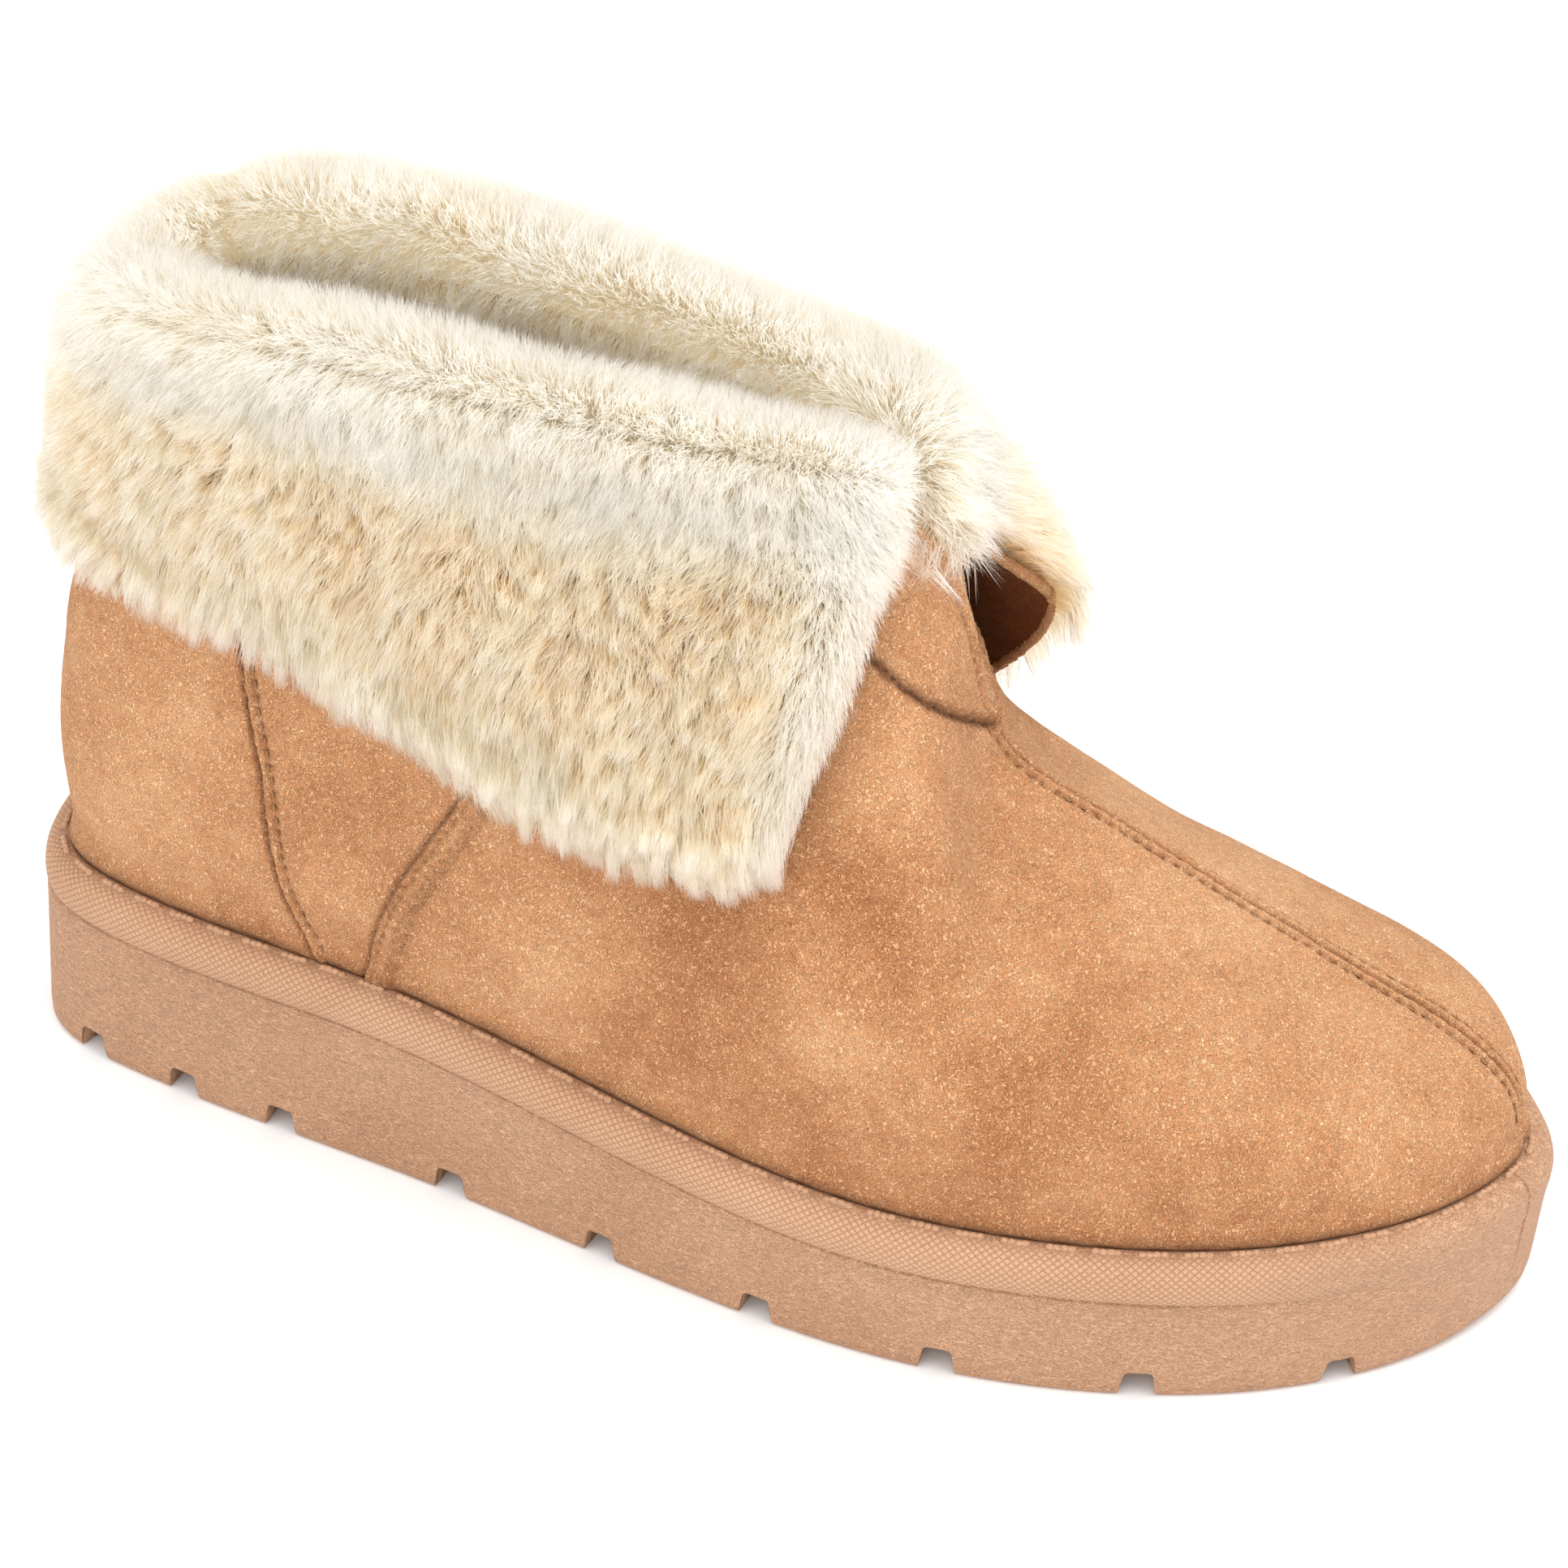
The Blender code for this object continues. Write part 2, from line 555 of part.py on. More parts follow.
def build_cuff():
    bm = bmesh.new()
    rows = []
    station = SLIT_FOOT / SLIT_STATIONS
    for step in range(-CUFF_LATERAL_STATIONS, CUFF_MEDIAL_STATIONS + 1):
        side = LATERAL if step < 0 else MEDIAL
        rows.append([bm.verts.new(p) for p in cuff_section(side, abs(step) * station)])
    skin(bm, [row + row[:1] for row in rows])
    for end in (rows[0], rows[-1]):
        cap = bm.faces.new(end)
        bmesh.ops.triangulate(bm, faces=[cap])
    bmesh.ops.recalc_face_normals(bm, faces=bm.faces[:])
    return new_object("cuff", bm, material("cream pile", (0.86, 0.78, 0.62), 1.0))


def clear_scene():
    for old in list(bpy.data.objects):
        bpy.data.objects.remove(old, do_unlink=True)


def main():
    clear_scene()
    build_outsole()
    build_insole()
    build_upper()
    build_cuff()


main()
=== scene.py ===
import math

import bmesh
import bpy
import numpy as np
from mathutils import Matrix, Vector, kdtree, noise
from mathutils.bvhtree import BVHTree


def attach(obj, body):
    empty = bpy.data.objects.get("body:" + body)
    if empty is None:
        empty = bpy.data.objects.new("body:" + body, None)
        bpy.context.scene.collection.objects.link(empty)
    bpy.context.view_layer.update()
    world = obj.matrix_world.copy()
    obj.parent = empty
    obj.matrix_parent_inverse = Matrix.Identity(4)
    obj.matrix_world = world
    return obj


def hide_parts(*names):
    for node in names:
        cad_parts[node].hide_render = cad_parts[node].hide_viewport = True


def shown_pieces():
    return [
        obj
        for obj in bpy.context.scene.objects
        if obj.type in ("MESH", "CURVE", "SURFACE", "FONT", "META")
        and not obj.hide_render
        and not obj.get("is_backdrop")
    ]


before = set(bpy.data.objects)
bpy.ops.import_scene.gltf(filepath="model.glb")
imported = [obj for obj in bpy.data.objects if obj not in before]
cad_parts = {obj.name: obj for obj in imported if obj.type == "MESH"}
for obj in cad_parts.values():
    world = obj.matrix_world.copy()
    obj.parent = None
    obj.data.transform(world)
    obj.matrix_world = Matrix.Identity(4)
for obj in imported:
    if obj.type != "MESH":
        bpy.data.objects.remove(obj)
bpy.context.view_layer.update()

# An ankle slipper, right foot: moulded platform sole, tan suede upper, turned-down pile cuff.
# Metres; +X to the toe, +Y to the inner side, +Z up. Tables are in millimetres from the heel's back.

mm = 0.001
lateral = -1.0
medial = 1.0

view = {
    "azimuth": 17.2,
    "elevation": 37.4,
    "roll": 2.36,
    "distance": 0.818,
    "target": (-0.0012, 0.0, 0.0745),
    "lens": 110.72,
}
light = {
    "worldStrength": 0.80,
    "worldColour": (1.0, 1.0, 1.0),
    "floorColour": (0.95, 0.95, 0.95),
    "suns": [("key", 1.45, 50, (-0.15, 0.10, -0.98)), ("back", 0.50, 60, (-0.35, -0.55, -0.75)),
             ("front", 1.25, 70, (0.15, 0.85, -0.50)), ("toe", 0.50, 70, (-0.85, -0.10, -0.50))],
}


# ---- small helpers
def newObject(name, mesh, *finishes):
    for finish in finishes:
        mesh.materials.append(finish)
    made = bpy.data.objects.new(name, mesh)
    bpy.context.scene.collection.objects.link(made)
    return made


def gridMesh(name, points, closeAcross=False):
    # quads through a grid of points
    rows, columns = points.shape[:2]
    index = np.arange(rows * columns).reshape(rows, columns)
    if closeAcross:
        index = np.concatenate([index, index[:, :1]], 1)
    quads = np.stack([index[:-1, :-1], index[1:, :-1], index[1:, 1:], index[:-1, 1:]], -1)
    mesh = bpy.data.meshes.new(name)
    mesh.from_pydata(points.reshape(-1, 3).tolist(), [], quads.reshape(-1, 4).tolist())
    mesh.shade_smooth()
    return mesh


def saveClosed(bm, mesh):
    bmesh.ops.recalc_face_normals(bm, faces=bm.faces[:])
    bm.to_mesh(mesh)
    bm.free()


def capRings(mesh, count, weld=0.0):
    # closes the first and the last ring of a body, with faces straight across from side to side
    bm = bmesh.new()
    bm.from_mesh(mesh)
    spots = bm.verts[:]
    for row in (spots[:count], spots[-count:]):
        for i in range(count // 2):
            corners = [row[i], row[i + 1], row[(-i - 1) % count], row[(-i) % count]]
            corners = [v for k, v in enumerate(corners) if v not in corners[:k]]
            if len(corners) > 2:
                bm.faces.new(corners)
    if weld:
        bmesh.ops.remove_doubles(bm, verts=bm.verts[:], dist=weld)
    saveClosed(bm, mesh)


def closedSection(name, section):
    # a closed skin along a run of sections, with both ends capped
    mesh = gridMesh(name, section, closeAcross=True)
    bm = bmesh.new()
    bm.from_mesh(mesh)
    bmesh.ops.holes_fill(bm, edges=[e for e in bm.edges if e.is_boundary], sides=0)
    bmesh.ops.triangulate(bm, faces=[f for f in bm.faces if len(f.verts) > 4])
    saveClosed(bm, mesh)
    mesh.shade_smooth()
    return mesh


def roundTube(name, path, radius, sides=10, rough=0.0):
    # a closed round bar along a path, roughened like a cut edge
    ahead = unit(np.gradient(path, axis=0))
    aside = unit(np.cross(ahead, np.array([0.31, 0.83, 0.46])))
    above = np.cross(aside, ahead)
    rings = []
    for k in range(sides):
        a = 2 * math.pi * k / sides
        spoke = aside * math.cos(a) + above * math.sin(a)
        swell = 1 + rough * noiseAt(path, 1500, (k * 3.7, 0, 0))
        rings.append(path + spoke * (radius * swell)[:, None])
    return closedSection(name, np.stack(rings, 1))


def setAttribute(mesh, name, values, kind="FLOAT"):
    layer = mesh.attributes.get(name) or mesh.attributes.new(name, kind, "POINT")
    key = "vector" if kind == "FLOAT_VECTOR" else "value"
    layer.data.foreach_set(key, np.asarray(values, np.float32).ravel())


def unit(vectors):
    return vectors / np.maximum(np.linalg.norm(vectors, axis=-1, keepdims=True), 1e-12)


def smoothStep(x, start, end):
    s = np.clip((np.asarray(x, float) - start) / (end - start), 0, 1)
    return s * s * (3 - 2 * s)


def lengthsAlong(path):
    return np.concatenate([[0], np.cumsum(np.linalg.norm(np.diff(path, axis=0), axis=1))])


def pointsAlong(path, lengths, at):
    # the points of a polyline at distances along it
    return np.stack([np.interp(at, lengths, path[:, k]) for k in range(path.shape[1])], 1)


def cubic(first, second, third, last, t):
    return (first * (1 - t) ** 3 + second * 3 * t * (1 - t) ** 2
            + third * 3 * t * t * (1 - t) + last * t ** 3)


def gauss(d, middle, width):
    return np.exp(-((d - middle) / width) ** 2)


def noiseAt(points, scale, shift=(0, 0, 0)):
    # smooth noise at each point of a list or a grid
    found = [noise.noise(Vector(v) * scale + Vector(shift)) for v in points.reshape(-1, 3)]
    return np.array(found).reshape(points.shape[:-1])


def searchTree(points):
    tree = kdtree.KDTree(len(points))
    for number, spot in enumerate(points):
        tree.insert(spot, number)
    tree.balance()
    return tree


def spline(knots, values, at, closed=False):
    # cubic through the values, natural at its ends or one closed loop
    knots, values, at = (np.asarray(a, float) for a in (knots, values, at))
    spans = np.diff(knots)
    count = len(knots)
    slopes = np.diff(values, axis=0) / spans.reshape((-1,) + (1,) * (values.ndim - 1))
    matrix = np.eye(count)
    right = np.zeros_like(values)
    for i in range(1, count - 1):
        matrix[i, i - 1:i + 2] = spans[i - 1], 2 * (spans[i - 1] + spans[i]), spans[i]
        right[i] = 6 * (slopes[i] - slopes[i - 1])
    if closed:
        matrix[0] = 0
        matrix[0, [0, 1, count - 2]] = 2 * (spans[0] + spans[-1]), spans[0], spans[-1]
        right[0] = 6 * (slopes[0] - slopes[-1])
        matrix[-1] = 0
        matrix[-1, [0, -1]] = 1, -1
    bends = np.linalg.solve(matrix, right)
    i = np.clip(np.searchsorted(knots, at, side="right") - 1, 0, count - 2)
    shape = (-1,) + (1,) * (values.ndim - 1)
    h = spans[i].reshape(shape)
    a = ((knots[i + 1] - at) / spans[i]).reshape(shape)
    b = 1 - a
    return (a * values[i] + b * values[i + 1]
            + ((a ** 3 - a) * bends[i] + (b ** 3 - b) * bends[i + 1]) * h * h / 6)


def steady(knots, values, at):
    # monotone cubic, which never overshoots a row
    knots, values, at = (np.asarray(a, float) for a in (knots, values, at))
    spans = np.diff(knots)
    slopes = np.diff(values) / spans
    tangents = np.zeros(len(knots))
    for i in range(1, len(knots) - 1):
        if slopes[i - 1] * slopes[i] > 0:
            w0 = 2 * spans[i] + spans[i - 1]
            w1 = spans[i] + 2 * spans[i - 1]
            tangents[i] = (w0 + w1) / (w0 / slopes[i - 1] + w1 / slopes[i])
    tangents[0], tangents[-1] = slopes[0], slopes[-1]
    i = np.clip(np.searchsorted(knots, at, side="right") - 1, 0, len(knots) - 2)
    s = (at - knots[i]) / spans[i]
    return ((1 + 2 * s) * (1 - s) ** 2 * values[i] + s * (1 - s) ** 2 * spans[i] * tangents[i]
            + s * s * (3 - 2 * s) * values[i + 1] + s * s * (s - 1) * spans[i] * tangents[i + 1])


def smoothPath(points, step=0.0004):
    # an even, smooth polyline through a few points
    points = np.asarray(points, float)
    knots = lengthsAlong(points)
    fine = spline(knots, points, np.linspace(0, knots[-1], 400))
    lengths = lengthsAlong(fine)
    at = np.linspace(0, lengths[-1], max(3, int(lengths[-1] / step)))
    return pointsAlong(fine, lengths, at)


# ---- the shoe's own outline and sections
shoe = {
    "length": 0.270,
    "heelStack": 0.0387,
    "foreStack": 0.0297,
    "stackFalls": (-0.075, 0.035),
    "toeSpring": 0.0020,
    "toeSpringFrom": 0.108,
    "featherInset": 0.0057,
    "dishDepth": 0.0042,
    "wall": 0.0060,
    "toeTip": 5.0,
    "normalReach": 0.0040,
    "slitFoot": 0.685,
    "innerClosing": (0.52, 0.60, 0.625, 0.68),     # where the slit's inner edge tucks behind the outer one
    "innerTuck": (-1.6, -4.6, -0.6),
    "innerLean": [(0, 0), (0.52, 0), (0.585, -11), (0.635, -21), (0.66, -14), (0.685, -8), (0.715, -11),
                  (0.745, -14.5), (0.805, -9), (0.87, -5), (0.93, -2), (1, 0)],
    "innerPull": [(0, 0), (0.585, -0.02), (0.635, -0.04), (0.66, -0.03), (0.685, -0.02), (0.745, -0.05),
                  (0.805, -0.04), (0.87, -0.02), (0.93, 0), (1, 0)],
    "crossways": (0.45, 0.66),      # shares over which the sections turn from the outline's normal to across
    "seamLeans": (150, 262),        # where the centre seam moves over to the toe's tip
}
lateralWidths = [(4, 19.6), (20, 29.0), (45, 34.1), (80, 38.8), (115, 45.4), (150, 51.4),
                 (178, 52.7), (205, 48.8), (230, 40.0), (250, 27.1), (263, 12.9)]
medialWidths = [(4, 17.0), (20, 31.0), (45, 36.5), (80, 34.0), (115, 33.0), (150, 39.0),
                (185, 47.0), (215, 46.0), (240, 38.6), (257, 28.0), (266, 17.0)]
topY = 2        # the column of upperRows whose flat runs may not be overshot
# along, topX, topY, topZ, footLean, footPull, topLean, topPull, tilt, innerFull
upperRows = [
    (0.00, 18.5, 0.0, 146, 9, 0.42, 10, 0.30, 0, 0.0),
    (0.08, 21.5, 9.5, 147.5, 10, 0.42, 8, 0.30, 0, 0.0),
    (0.16, 32, 16.0, 150, 12, 0.42, 3, 0.30, 0, 0.0),
    (0.25, 53, 19.0, 152, 12, 0.40, 0, 0.30, 0, 0.0),
    (0.35, 80, 19.0, 151, 12, 0.38, 0, 0.30, 0, 0.0),
    (0.45, 109, 17.0, 148.5, 13, 0.36, 3, 0.30, 0, 0.0),
    (0.53, 137, 12.5, 145, 14, 0.36, 12, 0.30, 0, 0.0),
    (0.585, 157, 7.5, 138, 14, 0.38, 27, 0.30, 0, 0.0),
    (0.635, 165.6, 3.1, 118, 14, 0.40, 45, 0.31, 0, 0.0),
    (0.685, 170, 0.0, 97, 14, 0.43, 61, 0.34, 0, 0.0),
    (0.745, 186, 0.0, 85, 14, 0.45, 72, 0.33, -3, 0.0),
    (0.805, 206, 0.0, 74.5, 14, 0.47, 80, 0.33, -3, 0.0),
    (0.87, 227, 0.0, 64, 16, 0.50, 86, 0.38, 2, 0.03),
    (0.93, 246.5, 0.0, 55, 22, 0.54, 87, 0.47, 6, 0.04),
    (0.965, 258.4, 0.0, 47.5, 27, 0.54, 87, 0.50, 7, 0.04),
    (0.985, 264.0, 0.0, 39.5, 28, 0.52, 87, 0.50, 6, 0.02),
    (1.00, 264.3, 0.0, 29.8, 28, 0.50, 87, 0.46, 4, 0.0),
]


def outlineSides(samples=4000):
    loop = [(0.0, 0.0)] + [(x * mm, -w * mm) for x, w in lateralWidths]
    loop += [(shoe["length"], shoe["toeTip"] * mm)]
    loop += [(x * mm, w * mm) for x, w in reversed(medialWidths)]
    loop = np.array(loop + [loop[0]])
    loop[:, 0] -= shoe["length"] / 2
    knots = np.concatenate([[0], np.cumsum(np.sqrt(np.linalg.norm(np.diff(loop, axis=0), axis=1)))])
    path = spline(knots, loop, np.linspace(0, knots[-1], samples + 1), closed=True)
    path = np.roll(path[:-1], -np.argmin(path[:, 0]), axis=0)
    toe = np.argmax(path[:, 0])
    return {lateral: path[:toe + 1], medial: np.concatenate([path[:1], path[:toe - 1:-1]])}


outline = outlineSides()
outlineLengths = {side: lengthsAlong(path) for side, path in outline.items()}


def edgePoints(side, alongs, out=0.0):
    # plan positions and outward normals at shares of the way round one side
    path, lengths = outline[side], outlineLengths[side]
    alongs = np.atleast_1d(np.asarray(alongs, float))
    reach = alongs * lengths[-1]
    ahead = pointsAlong(path, lengths, reach + shoe["normalReach"])
    behind = pointsAlong(path, lengths, reach - shoe["normalReach"])
    tangent = unit(ahead - behind)
    normal = side * np.stack([-tangent[:, 1], tangent[:, 0]], 1)
    normal[alongs <= 0] = -1, 0
    normal[alongs >= 1] = 1, 0
    return pointsAlong(path, lengths, reach) + normal * np.reshape(out, (-1, 1)), normal


def shareAt(side, fromHeel):
    lengths = outlineLengths[side]
    return float(np.interp(fromHeel * mm - shoe["length"] / 2, outline[side][:, 0],
                           lengths / lengths[-1]))


def featherHeight(x):
    fall = smoothStep(x, *shoe["stackFalls"])
    return shoe["heelStack"] + (shoe["foreStack"] - shoe["heelStack"]) * fall


def treadHeight(x):
    share = (np.asarray(x, float) - shoe["toeSpringFrom"]) / (shoe["length"] / 2 - shoe["toeSpringFrom"])
    return shoe["toeSpring"] * np.maximum(0.0, share) ** 2


def upperFrames(side, alongs):
    # foot, top, both slopes and the outward direction of the upper's sections
    table = np.array(upperRows)
    row = [alongs]
    for k in range(1, table.shape[1]):
        curve = steady if k == topY else spline
        row.append(curve(table[:, 0], table[:, k], alongs))
    footPlan, normal = edgePoints(side, alongs, -shoe["featherInset"])
    foot = np.column_stack([footPlan, featherHeight(footPlan[:, 0])])
    middle = shoe["toeTip"] * mm * smoothStep(row[1], *shoe["seamLeans"])
    top = np.column_stack([row[1] * mm - shoe["length"] / 2, side * row[2] * mm + middle, row[3] * mm])
    if side == medial:
        a, b, c, d = shoe["innerClosing"]
        tuck = smoothStep(alongs, a, b) * (1 - smoothStep(alongs, c, d))
        top = top + tuck[:, None] * np.array(shoe["innerTuck"]) * mm
    outward = np.column_stack([normal, np.zeros(len(alongs))])
    turn = smoothStep(alongs, *shoe["crossways"])[:, None]
    inward = unit(-(outward * (1 - turn) + np.array([0.0, side, 0.0]) * turn))
    up = np.array([0.0, 0.0, 1.0])
    inner = [steady(*np.array(shoe[name]).T, alongs) * (side == medial) for name in ("innerLean", "innerPull")]
    footLean = np.radians(row[4])[:, None]
    topLean = np.radians(row[6] + side * row[8] + inner[0])[:, None]
    footSlope = up * np.cos(footLean) + outward * np.sin(footLean)
    topSlope = up * np.cos(topLean) + inward * np.sin(topLean)
    fuller = (row[9] if side == medial else 0 * row[9]) + inner[1]
    return foot, top, footSlope, topSlope, outward, row[5] + fuller, row[7] + fuller


def upperPoints(side, alongs, heights):
    # points of the upper's outer face; heights run from the feather line (0) to the top (1)
    foot, top, footSlope, topSlope, _, footPull, topPull = upperFrames(side, alongs)
    span = np.linalg.norm(top - foot, axis=1)[:, None]
    second = foot + footSlope * span * footPull[:, None]
    third = top - topSlope * span * topPull[:, None]
    return cubic(foot, second, third, top, np.asarray(heights, float)[:, None])


print("shape functions ready")


# ---- camera, light and floor
def aimCamera():
    a, e, r = (math.radians(view[k]) for k in ("azimuth", "elevation", "roll"))
    back = Vector((math.sin(a) * math.cos(e), -math.cos(a) * math.cos(e), math.sin(e)))
    right = Vector((math.cos(a), math.sin(a), 0))
    up = back.cross(right)
    across = right * math.cos(r) + up * math.sin(r)
    upright = up * math.cos(r) - right * math.sin(r)
    place = Vector(view["target"]) + back * view["distance"]
    data = bpy.data.cameras.new("camera")
    data.sensor_width = 36
    data.lens = view["lens"]
    data.clip_start, data.clip_end = 0.05, 20
    camera = bpy.data.objects.new("camera", data)
    camera.matrix_world = Matrix([[across[i], upright[i], back[i], place[i]] for i in range(3)]
                                 + [[0, 0, 0, 1]])
    bpy.context.scene.collection.objects.link(camera)
    bpy.context.scene.camera = camera


def plainMaterial(name, colour, roughness):
    made = bpy.data.materials.new(name)
    made.use_nodes = True
    shader = made.node_tree.nodes["Principled BSDF"]
    shader.inputs["Base Color"].default_value = (*colour, 1)
    shader.inputs["Roughness"].default_value = roughness
    return made


def setStudio():
    world = bpy.data.worlds.new("studio")
    bpy.context.scene.world = world
    world.use_nodes = True
    sky = world.node_tree.nodes["Background"]
    sky.inputs["Color"].default_value = (*light["worldColour"], 1)
    sky.inputs["Strength"].default_value = light["worldStrength"]
    for name, strength, softness, travel in light["suns"]:
        data = bpy.data.lights.new(name, "SUN")
        data.energy = strength
        data.angle = math.radians(softness)
        sun = bpy.data.objects.new(name, data)
        sun.rotation_euler = Vector(travel).to_track_quat("-Z", "Y").to_euler()
        bpy.context.scene.collection.objects.link(sun)
    mesh = bpy.data.meshes.new("floor")
    mesh.from_pydata([(-6, -6, 0), (6, -6, 0), (6, 6, 0), (-6, 6, 0)], [], [(0, 1, 2, 3)])
    floor = newObject("floor", mesh, plainMaterial("paleFloor", light["floorColour"], 0.9))
    floor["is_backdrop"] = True
    bpy.context.scene.view_settings.view_transform = "Standard"


aimCamera()
setStudio()


# ---- node helpers
def put(tree, kind, inputs=None, **settings):
    made = tree.nodes.new(kind)
    for name, value in settings.items():
        setattr(made, name, value)
    for key, value in (inputs or {}).items():
        if isinstance(value, bpy.types.NodeSocket):
            tree.links.new(value, made.inputs[key])
        elif value is not None:
            made.inputs[key].default_value = value
    return made


def newMaterial(name, roughness=0.9, specular=0.3, sheen=0.0, sheenTint=(1, 1, 1), sheenRoughness=0.5):
    made = bpy.data.materials.new(name)
    made.use_nodes = True
    tree = made.node_tree
    shader = tree.nodes["Principled BSDF"]
    shader.inputs["Roughness"].default_value = roughness
    shader.inputs["Specular IOR Level"].default_value = specular
    shader.inputs["Sheen Weight"].default_value = sheen
    shader.inputs["Sheen Roughness"].default_value = sheenRoughness
    shader.inputs["Sheen Tint"].default_value = (*sheenTint, 1)
    return made, tree, shader


def mathNode(tree, operation, a, b=None, clamp=False):
    node = put(tree, "ShaderNodeMath", {0: a, 1: b}, operation=operation, use_clamp=clamp)
    return node.outputs[0]


def sumNodes(tree, total, *values):
    for value in values:
        total = mathNode(tree, "ADD", total, value)
    return total


def noiseNode(tree, place, scale, detail=2.0, rough=0.5, distortion=0.0):
    return put(tree, "ShaderNodeTexNoise", {"Vector": place, "Scale": scale, "Detail": detail,
               "Roughness": rough, "Distortion": distortion}).outputs[0]


def rampNode(tree, value, stops):
    node = put(tree, "ShaderNodeValToRGB", {0: value})
    ramp = node.color_ramp
    while len(ramp.elements) < len(stops):
        ramp.elements.new(0.5)
    for element, (place, colour) in zip(ramp.elements, stops):
        element.position = place
        element.color = (*colour, 1) if len(colour) == 3 else colour
    return node.outputs[0]


def mixColour(tree, share, a, b, blend="MIX"):
    node = put(tree, "ShaderNodeMix", data_type="RGBA", blend_type=blend)
    for key, value in ((0, share), (6, a), (7, b)):
        if isinstance(value, bpy.types.NodeSocket):
            tree.links.new(value, node.inputs[key])
        else:
            node.inputs[key].default_value = value if key == 0 else (*value, 1)
    return node.outputs[2]


def scaledPlace(tree, scale):
    place = put(tree, "ShaderNodeTexCoord").outputs["Object"]
    return put(tree, "ShaderNodeMapping", {"Vector": place, "Scale": scale}).outputs[0]


def attributeNode(tree, name, output="Fac"):
    return put(tree, "ShaderNodeAttribute", attribute_name=name).outputs[output]


def bumpNode(tree, height, strength, distance, normal=None):
    inputs = {"Height": height, "Strength": strength, "Distance": distance}
    if normal is not None:
        inputs["Normal"] = normal
    return put(tree, "ShaderNodeBump", inputs).outputs[0]


def mapRange(tree, value, low, high, newLow=0.0, newHigh=1.0):
    return put(tree, "ShaderNodeMapRange", {0: value, 1: low, 2: high, 3: newLow, 4: newHigh}).outputs[0]


# ---- materials
suedeLook = {
    "mid": (0.625, 0.290, 0.129),
    "dark": (0.27, 0.090, 0.028),
    "light": (0.86, 0.53, 0.30),
    "patchSize": 42,
    "napSize": 1900,
    "areaShare": 0.7,         # how much of each placed area's strength is used
}


def suedeMaterial(name, mid, dark, pale, sheen=0.22):
    made, tree, shader = newMaterial(name, roughness=0.95, specular=0.12, sheen=sheen,
                                     sheenTint=(1.0, 0.78, 0.55), sheenRoughness=0.45)
    place = scaledPlace(tree, (1, 1, 1))
    patches = noiseNode(tree, place, suedeLook["patchSize"], 3, 0.55, 0.6)
    brushed = noiseNode(tree, place, suedeLook["patchSize"] * 4.5, 3, 0.6, 0.8)
    combed = scaledPlace(tree, (1.10, 1.10, 0.80))
    nap = noiseNode(tree, combed, suedeLook["napSize"], 2, 0.5, 1.6)
    curls = mathNode(tree, "ABSOLUTE", mathNode(tree, "SUBTRACT", nap, 0.5))
    curls = mapRange(tree, curls, 0.0, 0.050)       # 0 in the thin winding gaps between the nap's curls
    fine = noiseNode(tree, combed, suedeLook["napSize"] * 2.2, 1, 0.5, 0.5)
    # painted shade in the seams' grooves and stitch holes and along the suede's foot at the lip
    depth = attributeNode(tree, "paintedGrooveShade")
    # the shade attribute brings in the placed tone, painted shade and painted light
    total = sumNodes(tree, mapRange(tree, patches, 0.3, 0.7, -0.20, 0.20),
                     mapRange(tree, brushed, 0.3, 0.7, -0.16, 0.16), attributeNode(tree, "shade"),
                     mapRange(tree, nap, 0.40, 0.60, -0.38, 0.38),
                     mapRange(tree, curls, 0.0, 1.0, -0.90, 0.26), mapRange(tree, fine, 0.4, 0.6, -0.16, 0.16))
    total = mapRange(tree, total, -1.0, 1.0, 0.0, 1.0)
    colour = rampNode(tree, total, [(0.0, dark), (0.5, mid), (1.0, pale)])
    # where that painted shade lies, the colour goes towards a shadow brown darker than the suede's own darkest
    colour = mixColour(tree, mathNode(tree, "MULTIPLY", depth, 0.90, clamp=True), colour,
                       [c * 0.55 for c in dark])
    tree.links.new(colour, shader.inputs["Base Color"])
    bump = bumpNode(tree, nap, 1.0, 0.00055)
    bump = bumpNode(tree, curls, 0.6, 0.0002, bump)
    bump = bumpNode(tree, fine, 0.4, 0.0002, bump)
    bump = bumpNode(tree, brushed, 0.25, 0.0012, bump)
    tree.links.new(bump, shader.inputs["Normal"])
    return made


def liningMaterial():
    made, tree, shader = newMaterial("liningPile", roughness=1.0, specular=0.05)
    place = scaledPlace(tree, (1, 1, 1))
    tufts = noiseNode(tree, place, 420, 4, 0.65, 1.0)
    broad = noiseNode(tree, place, 70, 2, 0.5)
    mixed = sumNodes(tree, mathNode(tree, "MULTIPLY", tufts, 0.7), mathNode(tree, "MULTIPLY", broad, 0.3))
    colour = rampNode(tree, mixed, [(0.34, (0.52, 0.36, 0.19)), (0.5, (0.72, 0.56, 0.36)),
                                    (0.68, (0.86, 0.75, 0.57))])
    tree.links.new(colour, shader.inputs["Base Color"])
    tree.links.new(bumpNode(tree, tufts, 0.9, 0.002), shader.inputs["Normal"])
    return made


